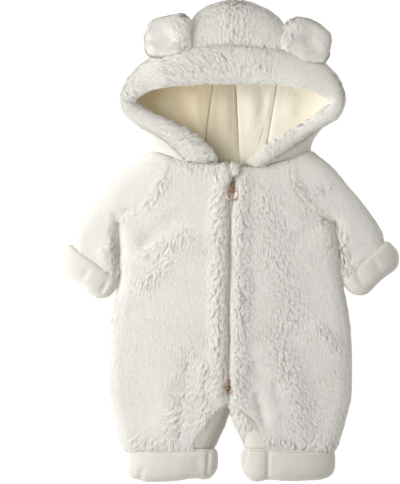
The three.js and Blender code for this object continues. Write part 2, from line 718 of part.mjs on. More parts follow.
// Rings of a cuff along its length, as [share of the length, how far it is drawn in].
const CUFF_RINGS = [[0, 7], [0.04, 3.5], [0.14, 0.8], [0.35, 0], [0.62, 0], [0.82, 2], [0.93, 6], [1, 13]];
const CUFF_MOUTH = [[1, 5], [0.9, 1], [0, 0]];
const CUFF_POINTS = 26;
const CUFF_SIDE_WALL = 18;
const CUFF_PINCH = { depth: 3, half: 6 };
// How square a cuff's section is: across and above, and below, where it lies on the surface.
const CUFF_SQUARE = { above: 0.8, below: 0.4 };

// A cuff turned back on itself: a fat flattened ring with a slot through it.
function cuff({ along, length, overhang, hem, seamAt }) {
  const [start, end] = along.map((edge) => flat(EDGES[edge].points.at(-1)));
  const across = end.sub(start);
  const width = across.length();
  across.normalize();
  const down = new THREE.Vector2(across.y, -across.x);
  if (down.y > 0) down.negate();
  const [low, high] = [-overhang[0], width + overhang[1]];
  const hemShare = (share) => {
    const next = clamp(hem.findIndex(([at]) => at >= share), 1, hem.length - 1);
    const [a, b] = [hem[next - 1], hem[next]];
    return lerp(a[1], b[1], smooth(clamp((share - a[0]) / (b[0] - a[0]), 0, 1)));
  };
  const place = (share, x, z) => {
    const reach = SEAM_GAP + share * length * hemShare(clamp((x - low) / (high - low), 0, 1));
    const p = start.clone().addScaledVector(across, x).addScaledVector(down, reach);
    return new THREE.Vector3(p.x, p.y, z);
  };
  const power = (v, k) => Math.sign(v) * Math.abs(v) ** k;
  const middle = CUFF_HEIGHT / 2;
  const points = [];
  const ring = (share, halfWidth, halfHeight, pinch) => {
    for (let i = 0; i < CUFF_POINTS; i++) {
      const angle = (2 * Math.PI * i) / CUFF_POINTS;
      const [c, s] = [Math.cos(angle), Math.sin(angle)];
      const x = (low + high) / 2 + halfWidth * power(c, CUFF_SQUARE.above);
      const fromSeam = (x - low - seamAt * (high - low)) / CUFF_PINCH.half;
      const dent = s > 0 ? pinch * Math.exp(-(fromSeam ** 2)) : 0;
      const z = middle + (halfHeight - dent) * power(s, s > 0 ? CUFF_SQUARE.above : CUFF_SQUARE.below);
      points.push(place(share, x, z));
    }
  };
  for (const [share, inset] of CUFF_RINGS)
    ring(share, (high - low) / 2 - inset, middle - inset, CUFF_PINCH.depth);
  for (const [share, flare] of CUFF_MOUTH)
    ring(share, (high - low) / 2 - CUFF_SIDE_WALL + flare, middle - CUFF_WALL + flare, 0);
  const rings = CUFF_RINGS.length + CUFF_MOUTH.length;
  const triangles = [];
  for (let r = 0; r < rings; r++)
    for (let i = 0; i < CUFF_POINTS; i++) {
      const [a, b] = [r * CUFF_POINTS + i, r * CUFF_POINTS + ((i + 1) % CUFF_POINTS)];
      const [c, d] = [b, a].map((k) => (k + CUFF_POINTS) % (rings * CUFF_POINTS));
      triangles.push([a, b, c], [a, c, d]);
    }
  return solid(points, triangles);
}

const FLOOR_SHARES = [0, 0.35, 0.62, 0.82, 0.94, 1];
const RISE_STEPS = 5;
const TURN_UP = 1.3;
const LEAST_TURN = 4;

// A line that lies on the floor of the hood, turns up at its edge and comes back over to the band.
function hoodLine({ neck, edge, band, edgeZ, bandZ }, inset, lift = 0) {
  const [a, e, b] = [flat(neck), flat(edge), flat(band)];
  const inwards = a.clone().sub(e).normalize();
  e.addScaledVector(inwards, inset - lift);
  const length = a.distanceTo(e);
  const round = TURN_UP * Math.max(LEAST_TURN, edgeZ - inset);
  const line = FLOOR_SHARES.map((share) => {
    const p = a.clone().lerp(e, share);
    const z = lerp(edgeZ, inset, roundUp((length * (1 - share)) / round));
    return new THREE.Vector3(p.x, p.y, z);
  });
  for (let i = 1; i <= RISE_STEPS; i++) {
    const angle = (Math.PI / 2) * (i / RISE_STEPS);
    const p = e.clone().lerp(b, 1 - Math.cos(angle));
    line.push(new THREE.Vector3(p.x, p.y, lerp(edgeZ, bandZ - inset + lift, Math.sin(angle))));
  }
  return line;
}

// A wall between two sets of hood lines.
function hoodWall(lines, outerInset, wallThickness, lift = 0) {
  const outer = lines.map((line) => hoodLine(line, outerInset, lift));
  const inner = lines.map((line) => hoodLine(line, outerInset + wallThickness));
  return wall(outer.flat(), inner.flat(), gridQuads(lines.length, outer[0].length));
}

const SIDE_LINES = 17;
function hoodSideLines(side, gap = HALF_GAP) {
  const rows = HOOD_SIDE[side];
  const [x0, y0] = rows[0].edge;
  const x1 = side === "left" ? CROWN[0].neckX : CROWN.at(-1).neckX;
  const edge = reading(rows, (r) => [...r.edge, r.edgeZ]);
  const band = reading(rows, (r) => [...r.band, r.bandZ]);
  const mouth = reading(rows, (r) => [...r.mouth, 0]);
  const floor = reading(rows, (r) => [0, r.floorY, 0]);
  const outwards = side === "left" ? -1 : 1;
  return Array.from({ length: SIDE_LINES }, (_, i) => {
    const t = i / (SIDE_LINES - 1);
    const [e, b] = [edge(t), band(t)];
    const y = floor(t).y;
    const x = lerp(x0, x1, (y0 - y) / (y0 - HOOD_NECK_Y));
    const off = outwards * gap;
    const m = mouth(t);
    return {
      neck: [x + off, y],
      edge: [e.x + off, e.y],
      band: [b.x + off, b.y],
      mouth: [m.x + off, m.y],
      edgeZ: e.z,
      bandZ: b.z,
    };
  });
}

const CROWN_LINES = 11;
function crownLines(gap = HALF_GAP) {
  const edge = reading(CROWN, (r) => [...r.edge, CROWN_EDGE_Z]);
  const band = reading(CROWN, (r) => [...r.band, CROWN_BAND_Z]);
  const neck = reading(CROWN, (r) => [r.neckX, HOOD_NECK_Y, 0]);
  const mouth = reading(CROWN, (r) => [...r.mouth, 0]);
  return Array.from({ length: CROWN_LINES }, (_, i) => {
    const t = i / (CROWN_LINES - 1);
    const off = i === 0 ? gap : i === CROWN_LINES - 1 ? -gap : 0;
    const [n, e, b, m] = [neck(t), edge(t), band(t), mouth(t)];
    return {
      neck: [n.x + off, n.y],
      edge: [e.x + off, e.y],
      band: [b.x + off, b.y],
      mouth: [m.x + off, m.y],
      edgeZ: e.z,
      bandZ: b.z,
    };
  });
}

const LINING_INSET = HOOD_WALL + 4 * SEAM_GAP;
const LINING_OVERLAP = -0.4;
const CUT_HEIGHT = 140;

// The whole lining: the hood's own lines drawn in by its wall, and carried on under the band to the mouth.
function liningShell() {
  const shells = [
    hoodSideLines("left", LINING_OVERLAP),
    crownLines(LINING_OVERLAP),
    hoodSideLines("right", LINING_OVERLAP),
  ];
  return shells
    .map((lines) => {
      const inside = lines.map((line) => ({
        ...line,
        band: line.mouth,
        bandZ: line.bandZ + BAND_OUTER_DROP - LINING_DROP + LINING_INSET,
      }));
      return hoodWall(inside, LINING_INSET, LINING_WALL);
    })
    .reduce((whole, shell) => whole.add(shell));
}

// One panel of the lining, between two of its seams or beyond the first or last one.
function liningPanel(shell, index) {
  const lineAt = (k, off) => {
    if (k < 0) return LINING_SEAMS[0].map(([, y]) => [-CUT_HEIGHT * 2, y]);
    if (k >= LINING_SEAMS.length) return LINING_SEAMS[0].map(([, y]) => [CUT_HEIGHT * 2, y]);
    return LINING_SEAMS[k].map(([x, y]) => [x + off, y]);
  };
  const outline = [...lineAt(index - 1, HALF_GAP), ...lineAt(index, -HALF_GAP).reverse()];
  const shape = new THREE.Shape(outline.map(flat).reverse());
  const room = made(new THREE.ExtrudeGeometry(shape, { depth: CUT_HEIGHT, bevelEnabled: false }), 0, 0, 0);
  return fitted(shell.intersect(room), []);
}

const BAND_STATIONS = 44;
const BAND_ARC = 7;
const BAND_FLAT = 2;

// The rolled band round the face: a thick D-shaped roll, open at the throat. grow makes a larger copy.
function faceBand(grow = 0) {
  const inner = reading(BAND, (r) => [...r.inner, r.top]);
  const outer = reading(BAND, (r) => [...r.outer, r.top]);
  const points = [];
  for (let i = 0; i < BAND_STATIONS; i++) {
    const t = i / (BAND_STATIONS - 1);
    const m = inner(t);
    const q = outer(t);
    m.z -= BAND_INNER_DROP;
    q.z -= BAND_OUTER_DROP;
    const chord = m.clone().sub(q).multiplyScalar(0.5);
    const middle = m.clone().add(q).multiplyScalar(0.5);
    chord.multiplyScalar(1 + grow / chord.length());
    for (let k = 0; k <= BAND_ARC; k++) {
      const angle = (Math.PI * k) / BAND_ARC;
      const p = middle.clone().addScaledVector(chord, Math.cos(angle));
      p.z += (BAND_BULGE + grow) * Math.sin(angle);
      points.push(p);
    }
    for (let k = 0; k <= BAND_FLAT; k++) {
      const p = middle.clone().addScaledVector(chord, -1 + (2 * k) / BAND_FLAT);
      p.z -= BAND_UNDER + grow;
      points.push(p);
    }
  }
  const ring = BAND_ARC + BAND_FLAT + 2;
  const triangles = [];
  for (const [a, b, c, d] of gridQuads(BAND_STATIONS, ring, true)) triangles.push([a, b, c], [a, c, d]);
  const last = (BAND_STATIONS - 1) * ring;
  for (let k = 1; k + 1 < ring; k++) {
    triangles.push([0, k + 1, k]);
    triangles.push([last, last + k, last + k + 1]);
  }
  return solid(points, triangles);
}

const EAR_RINGS = [0.4, 0.72, 0.92, 1];
const EAR_POINTS = 20;
const EAR_RIM = 2;

// An ear: two rounded layers stitched round a rim, before it is fitted to the hood.
function ear({ rim, middle, baseZ, tipZ }) {
  const rimPoints = rim.map(([x, y]) => new THREE.Vector3(x, y, 0));
  const curve = new THREE.CatmullRomCurve3(rimPoints, true, "centripetal");
  const centre = flat(middle);
  const lowY = Math.min(...rim.map((p) => p[1]));
  const highY = Math.max(...rim.map((p) => p[1]));
  const height = (y) => lerp(baseZ, tipZ, (y - lowY) / (highY - lowY));
  const points = [new THREE.Vector3(centre.x, centre.y, height(centre.y) + EAR_THICK / 2)];
  const rings = [...EAR_RINGS.map((r) => [r, 1]), ...EAR_RINGS.slice(0, -1).reverse().map((r) => [r, -1])];
  for (const [share, face] of rings)
    for (let i = 0; i < EAR_POINTS; i++) {
      const q = curve.getPointAt(i / EAR_POINTS);
      const p = centre.clone().lerp(new THREE.Vector2(q.x, q.y), share);
      const thick = share < 1 ? (EAR_THICK / 2) * Math.sqrt(1 - share ** 3) + EAR_RIM : 0;
      points.push(new THREE.Vector3(p.x, p.y, height(p.y) + face * thick));
    }
  points.push(new THREE.Vector3(centre.x, centre.y, height(centre.y) - EAR_THICK / 2));
  const triangles = [];
  const end = points.length - 1;
  const lastRing = 1 + (rings.length - 1) * EAR_POINTS;
  for (let i = 0; i < EAR_POINTS; i++) {
    const next = (i + 1) % EAR_POINTS;
    triangles.push([0, 1 + i, 1 + next]);
    triangles.push([end, lastRing + next, lastRing + i]);
  }
  for (const quad of gridQuads(rings.length, EAR_POINTS, true)) {
    const [a, b, c, d] = quad.map((k) => k + 1);
    triangles.push([a, c, b], [a, d, c]);
  }
  return solid(points, triangles);
}

// The largest body of what is left after cutters are taken away.
function fitted(manifold, cutters) {
  const cut = cutters.reduce((left, cutter) => left.subtract(cutter), manifold);
  return cut.decompose().sort((a, b) => b.volume() - a.volume())[0];
}

const ZIP_STEPS = 12;

// A flat strip along the zip between two x offsets, from its top face down by its thickness.
function zipStrip(fromOffset, toOffset, top, thick) {
  const outer = [];
  const inner = [];
  for (let i = 0; i <= ZIP_STEPS; i++) {
    const y = lerp(ZIP_TOP_Y, TAPE_END_Y, i / ZIP_STEPS);
    for (const offset of [fromOffset, toOffset]) {
      const x = xAt(ZIP_LINE, y) + offset;
      outer.push(new THREE.Vector3(x, y, top));
      inner.push(new THREE.Vector3(x, y, top - thick));
    }
  }
  return wall(outer, inner, gridQuads(ZIP_STEPS + 1, 2));
}

// One lump of the chin guard: a small soft pad that lies on the front.
function chinLump({ centre, half, thick }) {
  const floor = (x, y) => suitFace(new THREE.Vector2(x, y), BODY_EDGES, "outerTop").z + SEAM_GAP;
  const spot = (share, angle) => {
    const x = centre[0] + half[0] * share * Math.cos(angle);
    const y = centre[1] + half[1] * share * Math.sin(angle);
    return [x, y];
  };
  const level = SUIT_HEIGHT + ZIP_ROLL.height + SEAM_GAP;
  const outer = [new THREE.Vector3(...centre, level + thick)];
  const inner = [new THREE.Vector3(...centre, level)];
  for (const share of CHIN_RINGS)
    for (let i = 0; i < CHIN_POINTS; i++) {
      const [x, y] = spot(share, (2 * Math.PI * i) / CHIN_POINTS);
      const rise = CHIN.rim + (thick - CHIN.rim) * Math.sqrt(1 - share ** 3);
      outer.push(new THREE.Vector3(x, y, level + rise));
      inner.push(new THREE.Vector3(x, y, Math.max(floor(x, y), level - CHIN.sink)));
    }
  const quads = [];
  for (let i = 0; i < CHIN_POINTS; i++) quads.push([0, 0, 1 + ((i + 1) % CHIN_POINTS), 1 + i]);
  for (const quad of gridQuads(CHIN_RINGS.length, CHIN_POINTS, true)) quads.push(quad.map((k) => k + 1));
  return wall(outer, inner, quads);
}

// A closed geometry from three.js as a manifold, moved to its place.
function made(geometry, x, y, z) {
  geometry.translate(x, y, z);
  const whole = geometry.index ? geometry.toNonIndexed() : geometry;
  const place = whole.getAttribute("position");
  const points = [];
  const seen = new Map();
  const index = [];
  for (let i = 0; i < place.count; i++) {
    const p = new THREE.Vector3().fromBufferAttribute(place, i);
    const key = p.toArray().map((v) => Math.round(v * 1e4)).join();
    if (!seen.has(key)) {
      seen.set(key, points.length);
      points.push(p);
    }
    index.push(seen.get(key));
  }
  const triangles = [];
  for (let i = 0; i < index.length; i += 3) triangles.push(index.slice(i, i + 3));
  return solid(points, triangles);
}

const CHAIN_TOP = TAPE_TOP + 0.6;
const PLATE_BOTTOM = CHAIN_TOP + SEAM_GAP;
const HINGE_Z = PLATE_BOTTOM + PLATE + BRIDGE.hinge;

// A shield-shaped plate of a slider.
function sliderPlate({ half, length, bottom, top, chamfer }, x, y) {
  const long = length / 2;
  const rightSide = [
    [half - chamfer, long], [half, long - 2 * chamfer],
    [half - chamfer, chamfer - long], [half - 2 * chamfer, -long],
  ];
  const leftSide = rightSide.map(([px, py]) => [-px, py]).reverse();
  const shield = new THREE.Shape([...rightSide, ...leftSide].map(flat));
  const plate = new THREE.ExtrudeGeometry(shield, { depth: top - bottom, bevelEnabled: false });
  return made(plate, x, y, PLATE_BOTTOM + bottom);
}

// A slider: two plates over the chain, with the bridge that its ring hangs in.
function slider({ x, y, hingeY }) {
  const { length, height, bar, chamfer, foot } = BRIDGE;
  const half = length / 2;
  const arch = new THREE.Shape(
    [
      [-half, -foot], [-half, height - chamfer], [-half + chamfer, height],
      [half - chamfer, height], [half, height - chamfer], [half, -foot], [half - bar, -foot],
      [half - bar, height - bar], [-half + bar, height - bar], [-half + bar, -foot],
    ].map(flat),
  );
  const bridge = new THREE.ExtrudeGeometry(arch, { depth: 2 * BRIDGE.half, bevelEnabled: false });
  bridge.rotateX(Math.PI / 2);
  bridge.rotateZ(Math.PI / 2);
  bridge.translate(-BRIDGE.half, 0, 0);
  const [low, high] = SLIDER_PLATES.map((plate) => sliderPlate(plate, x, y));
  return low.add(high).add(made(bridge, x, hingeY, PLATE_BOTTOM + PLATE));
}

// A ring pull that lies down from its slider's bridge, its wire through the bridge at the hinge.
function ringPull({ x, hingeY, radius, wire, tilt }) {
  const ring = new THREE.TorusGeometry(radius, wire, RING_STEPS.wire, RING_STEPS.round);
  ring.translate(0, -radius, 0);
  ring.rotateX(-tilt);
  return made(ring, x, hingeY, HINGE_Z);
}

const bandRoom = faceBand(1.6 * SEAM_GAP);
const hoodRoom = [
  ...["left", "right"].map((side) => hoodWall(hoodSideLines(side, -HALF_GAP), 0, HOOD_ROOM, SEAM_GAP)),
  hoodWall(crownLines(-HALF_GAP), 0, HOOD_ROOM, SEAM_GAP),
  hoodWall(crownLines(HALF_GAP), 0, HOOD_ROOM, SEAM_GAP),
  bandRoom,
];

for (const side of ["left", "right"]) {
  piece("front_" + side, front(side), "plush");
  piece("gusset_" + side, gusset(side), "plush");
  piece("sleeve_" + side, sleeve(side), "plush");
}
piece("back", back(), "plush");
for (const [name, sizes] of Object.entries(CUFFS)) piece(name, cuff(sizes), "cuff");

piece("face_band", faceBand(), "plush");
piece("hood_crown", fitted(hoodWall(crownLines(), 0, HOOD_WALL), [bandRoom]), "plush");
for (const side of ["left", "right"]) {
  piece("hood_side_" + side, fitted(hoodWall(hoodSideLines(side), 0, HOOD_WALL), [bandRoom]), "plush");
  piece("ear_" + side, fitted(ear(EARS[side]), hoodRoom), "plush");
}
const lining = fitted(liningShell(), hoodRoom);
for (const [index, name] of ["side_left", "middle_left", "middle_right", "side_right"].entries())
  piece("hood_lining_" + name, liningPanel(lining, index), "lining");

const tapeFrom = SLOT_HALF - SEAM_GAP;
const tapeTo = CHAIN_HALF + SEAM_GAP;
piece("zip_tape_left", zipStrip(-tapeFrom, -tapeTo, TAPE_TOP, TAPE_THICK), "tape");
piece("zip_tape_right", zipStrip(tapeTo, tapeFrom, TAPE_TOP, TAPE_THICK), "tape");
piece("zip_chain", zipStrip(-CHAIN_HALF, CHAIN_HALF, CHAIN_TOP, CHAIN_THICK), "tape");
piece("chin_guard", CHIN_LUMPS.map(chinLump).reduce((whole, lump) => whole.add(lump)), "plush");
for (const [name, sizes] of Object.entries(SLIDERS)) {
  piece("slider_" + name, slider(sizes), "metal");
  piece("ring_" + name, ringPull(sizes), "metal");
}

export default suit;
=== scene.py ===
"""A baby's plush snowsuit laid flat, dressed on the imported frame, with a floor, soft light and a camera."""

import json
import logging
import math
from dataclasses import dataclass
from enum import Enum

import bpy
import numpy as np
from mathutils import Matrix, Vector
from mathutils.bvhtree import BVHTree
from mathutils.kdtree import KDTree

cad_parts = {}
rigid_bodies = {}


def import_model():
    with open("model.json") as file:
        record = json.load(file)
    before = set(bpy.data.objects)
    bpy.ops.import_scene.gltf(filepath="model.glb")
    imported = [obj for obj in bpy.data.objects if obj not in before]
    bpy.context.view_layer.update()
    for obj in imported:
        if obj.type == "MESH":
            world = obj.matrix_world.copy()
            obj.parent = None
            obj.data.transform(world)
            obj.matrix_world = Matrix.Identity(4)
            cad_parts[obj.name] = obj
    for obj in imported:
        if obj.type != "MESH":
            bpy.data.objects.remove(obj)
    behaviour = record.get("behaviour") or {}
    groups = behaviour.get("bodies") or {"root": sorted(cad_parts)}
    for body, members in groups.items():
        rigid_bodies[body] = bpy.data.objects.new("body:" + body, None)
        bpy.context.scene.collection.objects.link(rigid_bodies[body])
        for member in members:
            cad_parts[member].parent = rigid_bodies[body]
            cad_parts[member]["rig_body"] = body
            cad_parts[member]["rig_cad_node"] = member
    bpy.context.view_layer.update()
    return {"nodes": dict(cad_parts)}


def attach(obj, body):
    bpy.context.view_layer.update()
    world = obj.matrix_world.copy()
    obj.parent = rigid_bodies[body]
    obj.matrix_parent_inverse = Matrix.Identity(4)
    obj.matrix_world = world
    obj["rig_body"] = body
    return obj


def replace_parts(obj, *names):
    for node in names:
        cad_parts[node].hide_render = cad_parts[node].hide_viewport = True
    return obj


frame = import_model()

log = logging.getLogger("snowsuit")

MM = 0.001
# Corners of a CAD node that lie closer than this are one.
MERGE = 0.00002
GARMENT = "garment"
Array = np.ndarray
Piece = bpy.types.Object


def deselect() -> None:
    """Leaves object mode with nothing selected."""
    if bpy.context.mode != "OBJECT":
        bpy.ops.object.mode_set(mode="OBJECT")
    bpy.ops.object.select_all(action="DESELECT")


def pick(piece: Piece) -> None:
    """Selects one piece alone and makes it active.

    Args:
        piece: the piece to select.
    """
    deselect()
    piece.select_set(True)
    bpy.context.view_layer.objects.active = piece


def finish_with(piece: Piece, kind: str, **settings: object) -> None:
    """Adds a modifier to a piece and applies it.

    Args:
        piece: the piece to change.
        kind: the modifier's type, such as "REMESH".
        settings: the modifier's own settings.
    """
    pick(piece)
    modifier = piece.modifiers.new(kind.lower(), kind)
    for name, value in settings.items():
        setattr(modifier, name, value)
    bpy.ops.object.modifier_apply(modifier=modifier.name)


def edit(piece: Piece, *steps: tuple) -> None:
    """Runs mesh operators on all of a piece in edit mode.

    Args:
        piece: the piece to change.
        steps: each an operator followed by its settings as a dict.
    """
    pick(piece)
    bpy.ops.object.mode_set(mode="EDIT")
    bpy.ops.mesh.select_all(action="SELECT")
    for operator, settings in steps:
        operator(**settings)
    bpy.ops.object.mode_set(mode="OBJECT")


def copied(node: str, name: str) -> Piece:
    """A merged copy of a CAD node as a new piece.

    Args:
        node: the CAD node's name.
        name: the new piece's name.

    Returns:
        The piece, a closed mesh at the node's place.
    """
    pick(frame["nodes"][node])
    bpy.ops.object.duplicate(linked=False)
    piece = bpy.context.view_layer.objects.active
    piece.parent = None
    piece.name = name
    piece.data.name = name
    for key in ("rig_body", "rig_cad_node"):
        del piece[key]
    piece.data.materials.clear()
    edit(piece, (bpy.ops.mesh.remove_doubles, {"threshold": MERGE}))
    return piece


def smooth_faces(piece: Piece) -> None:
    """Shades all of a piece's faces smooth."""
    edit(piece, (bpy.ops.mesh.faces_shade_smooth, {}))


def corners_of(piece: Piece) -> Array:
    """A piece's vertices.

    Args:
        piece: the piece to read.

    Returns:
        Rows of x, y and z.
    """
    places = np.zeros(len(piece.data.vertices) * 3)
    piece.data.vertices.foreach_get("co", places)
    return places.reshape(-1, 3)


def corner_normals(piece: Piece) -> Array:
    """A piece's vertex normals.

    Args:
        piece: the piece to read.

    Returns:
        Rows of x, y and z.
    """
    normals = np.zeros(len(piece.data.vertices) * 3)
    piece.data.vertices.foreach_get("normal", normals)
    return normals.reshape(-1, 3)


def move_corners(piece: Piece, places: Array) -> None:
    """Puts a piece's vertices at new places."""
    piece.data.vertices.foreach_set("co", places.ravel())
    piece.data.update()


def seat(piece: Piece, material: bpy.types.Material, body: str = GARMENT) -> Piece:
    """Gives a piece its material, lets it ride on a body and reports it.

    Args:
        piece: the finished piece.
        material: its material.
        body: the body that carries it.

    Returns:
        The piece.
    """
    piece.data.materials.clear()
    piece.data.materials.append(material)
    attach(piece, body)
    log.info("%s: %d faces", piece.name, len(piece.data.polygons))
    return piece


# How many waves cross, how their lengths vary, and what brings their sum to about 1.
WAVES = 6
WAVE_LENGTHS = (0.7, 1.6)
WAVE_SUM = 3.2


def ripples(places: Array, wavelength: float, seed: int) -> Array:
    """A smooth uneven field over space, made from a few crossing waves.

    Args:
        places: points as rows.
        wavelength: the typical distance between crests, in metres.
        seed: picks the waves.

    Returns:
        One value from about -1 to 1 for each point.
    """
    draw = np.random.default_rng(seed)
    total = np.zeros(len(places))
    for _ in range(WAVES):
        way = draw.normal(size=3)
        way *= 2 * math.pi / (wavelength * draw.uniform(*WAVE_LENGTHS)) / np.linalg.norm(way)
        total += np.sin(places @ way + draw.uniform(0, 2 * math.pi))
    return total / WAVE_SUM


def unit(rows: Array) -> Array:
    """Rows scaled to length one."""
    return rows / np.maximum(np.linalg.norm(rows, axis=1, keepdims=True), 1e-9)


def smooth_step(values: Array) -> Array:
    """Eases values between 0 and 1."""
    values = np.clip(values, 0, 1)
    return values * values * (3 - 2 * values)


# Surfaces
# The share of the fine grain in the height, beside the broad one.
FINE_SHARE = 0.35


def grain_group() -> bpy.types.NodeTree:
    """Fine and broad grain for cloth and metal.

    Returns:
        The group, made once, with a mask and a height as its outputs.
    """
    found = bpy.data.node_groups.get("fibre_grain")
    if found:
        return found
    group = bpy.data.node_groups.new("fibre_grain", "ShaderNodeTree")
    sockets = {"Vector": "NodeSocketVector", "Scale": "NodeSocketFloat", "Cloud": "NodeSocketFloat"}
    for name, kind in sockets.items():
        group.interface.new_socket(name, in_out="INPUT", socket_type=kind)
    for name in ("Mask", "Height"):
        group.interface.new_socket(name, in_out="OUTPUT", socket_type="NodeSocketFloat")
    nodes, links = group.nodes, group.links
    start, end = nodes.new("NodeGroupInput"), nodes.new("NodeGroupOutput")
    fine, cloud = nodes.new("ShaderNodeTexNoise"), nodes.new("ShaderNodeTexNoise")
    fine.inputs["Detail"].default_value = 4
    fine.inputs["Roughness"].default_value = 0.65
    cloud.inputs["Detail"].default_value = 2
    both = nodes.new("ShaderNodeMath")
    both.operation = "MULTIPLY_ADD"
    both.inputs[1].default_value = FINE_SHARE
    for noise, scale in ((fine, "Scale"), (cloud, "Cloud")):
        links.new(start.outputs["Vector"], noise.inputs["Vector"])
        links.new(start.outputs[scale], noise.inputs["Scale"])
    links.new(fine.outputs["Fac"], both.inputs[0])
    links.new(cloud.outputs["Fac"], both.inputs[2])
    links.new(cloud.outputs["Fac"], end.inputs["Mask"])
    links.new(both.outputs["Value"], end.inputs["Height"])
    return group


def blank_material(name: str) -> tuple[bpy.types.Material, bpy.types.Node]:
    """A new material and its shader.

    Args:
        name: the material's name.

    Returns:
        The material and its Principled BSDF.
    """
    made = bpy.data.materials.new(name)
    made.use_nodes = True
    return made, made.node_tree.nodes["Principled BSDF"]


def place_grain(made: bpy.types.Material, grain: float, cloud: float) -> bpy.types.Node:
    """Puts the grain group in a material, on Object coordinates.

    Args:
        made: the material.
        grain: the fine grain's scale.
        cloud: the broad grain's scale.

    Returns:
        The group's node.
    """
    place = made.node_tree.nodes.new("ShaderNodeTexCoord")
    group = made.node_tree.nodes.new("ShaderNodeGroup")
    group.node_tree = grain_group()
    group.inputs["Scale"].default_value = grain
    group.inputs["Cloud"].default_value = cloud
    made.node_tree.links.new(place.outputs["Object"], group.inputs["Vector"])
    return group


# The share of the light that passes through a lock of pile.
THROUGH = 0.2
# The faint glow that stands for the light scattered inside deep pale pile.
GLOW = 0.1
# How much of the tone comes from the height along a lock, painted shade at its root and painted light at its
# tip, and how much from the lock's own value, which is tone by chance and painted tuft shade.
ROOT_SHADE_RISE = 0.7
TONE_AND_TUFT_SHADE = 0.3


@dataclass(frozen=True)
class ClothFinish:
    """A cloth's colours, sheen and grain."""

    name: str
    light: tuple[float, float, float]
    shade: tuple[float, float, float]
    roughness: float = 0.95
    sheen: float = 0.25
    grain: float = 900.0
    cloud: float = 40.0
    relief: float = 0.0004
    relief_strength: float = 0.5
    by_length: bool = False

    def material(self) -> bpy.types.Material:
        """The cloth's material.

        Returns:
            The material, made once.
        """
        found = bpy.data.materials.get(self.name)
        if found:
            return found
        made, shader = blank_material(self.name)
        nodes, links = made.node_tree.nodes, made.node_tree.links
        shader.inputs["Roughness"].default_value = self.roughness
        shader.inputs["Sheen Weight"].default_value = self.sheen
        shader.inputs["Sheen Roughness"].default_value = 0.5
        shader.inputs["Specular IOR Level"].default_value = 0.2
        tone = nodes.new("ShaderNodeMix")
        tone.data_type = "RGBA"
        tone.inputs["A"].default_value = (*self.shade, 1)
        tone.inputs["B"].default_value = (*self.light, 1)
        links.new(tone.outputs["Result"], shader.inputs["Base Color"])
        if self.by_length:
            self.along_lock(made, tone)
            self.let_through(made, shader, tone)
            return made
        grain = place_grain(made, self.grain, self.cloud)
        links.new(grain.outputs["Mask"], tone.inputs["Factor"])
        bump = nodes.new("ShaderNodeBump")
        bump.inputs["Distance"].default_value = self.relief
        bump.inputs["Strength"].default_value = self.relief_strength
        links.new(grain.outputs["Height"], bump.inputs["Height"])
        links.new(bump.outputs["Normal"], shader.inputs["Normal"])
        return made

    @staticmethod
    def let_through(made: bpy.types.Material, shader: bpy.types.Node, tone: bpy.types.Node) -> None:
        """Lets light through the thin locks and gives them a faint painted glow in their own colour, so that
        no side of them is dark.

        Args:
            made: the material.
            shader: its Principled BSDF.
            tone: the node that mixes its colours.
        """
        nodes, links = made.node_tree.nodes, made.node_tree.links
        through = nodes.new("ShaderNodeBsdfTranslucent")
        links.new(tone.outputs["Result"], through.inputs["Color"])
        links.new(tone.outputs["Result"], shader.inputs["Emission Color"])
        shader.inputs["Emission Strength"].default_value = GLOW
        both = nodes.new("ShaderNodeMixShader")
        both.inputs["Fac"].default_value = THROUGH
        links.new(shader.outputs["BSDF"], both.inputs[1])
        links.new(through.outputs["BSDF"], both.inputs[2])
        links.new(both.outputs["Shader"], nodes["Material Output"].inputs["Surface"])

    @staticmethod
    def along_lock(made: bpy.types.Material, tone: bpy.types.Node) -> None:
        """Lightens each lock from its root to its tip, by its own UV map: painted shade at the roots and
        painted light at the tips, mixed with the lock's tone by chance and its painted tuft shade.

        Args:
            made: the material.
            tone: the node that mixes its colours.
        """
        nodes, links = made.node_tree.nodes, made.node_tree.links
        place = nodes.new("ShaderNodeTexCoord")
        parts = nodes.new("ShaderNodeSeparateXYZ")
        links.new(place.outputs["UV"], parts.inputs["Vector"])
        rise = nodes.new("ShaderNodeMath")
        rise.operation = "MULTIPLY_ADD"
        rise.inputs[1].default_value = ROOT_SHADE_RISE
        links.new(parts.outputs["Y"], rise.inputs[0])
        own = nodes.new("ShaderNodeMath")
        own.operation = "MULTIPLY"
        own.inputs[1].default_value = TONE_AND_TUFT_SHADE
        links.new(parts.outputs["X"], own.inputs[0])
        links.new(own.outputs["Value"], rise.inputs[2])
        links.new(rise.outputs["Value"], tone.inputs["Factor"])


@dataclass(frozen=True)
class MetalFinish:
    """A polished metal with faint wear."""

    name: str
    colour: tuple[float, float, float]
    roughness: float = 0.22
    wear: float = 0.2
    grain: float = 1500.0
    cloud: float = 300.0

    def material(self) -> bpy.types.Material:
        """The metal's material.

        Returns:
            The material, made once.
        """
        found = bpy.data.materials.get(self.name)
        if found:
            return found
        made, shader = blank_material(self.name)
        links = made.node_tree.links
        shader.inputs["Metallic"].default_value = 1.0
        shader.inputs["Base Color"].default_value = (*self.colour, 1)
        grain = place_grain(made, self.grain, self.cloud)
        worn = made.node_tree.nodes.new("ShaderNodeMapRange")
        worn.inputs["To Min"].default_value = self.roughness
        worn.inputs["To Max"].default_value = self.roughness + self.wear
        links.new(grain.outputs["Mask"], worn.inputs["Value"])
        links.new(worn.outputs["Result"], shader.inputs["Roughness"])
        return made


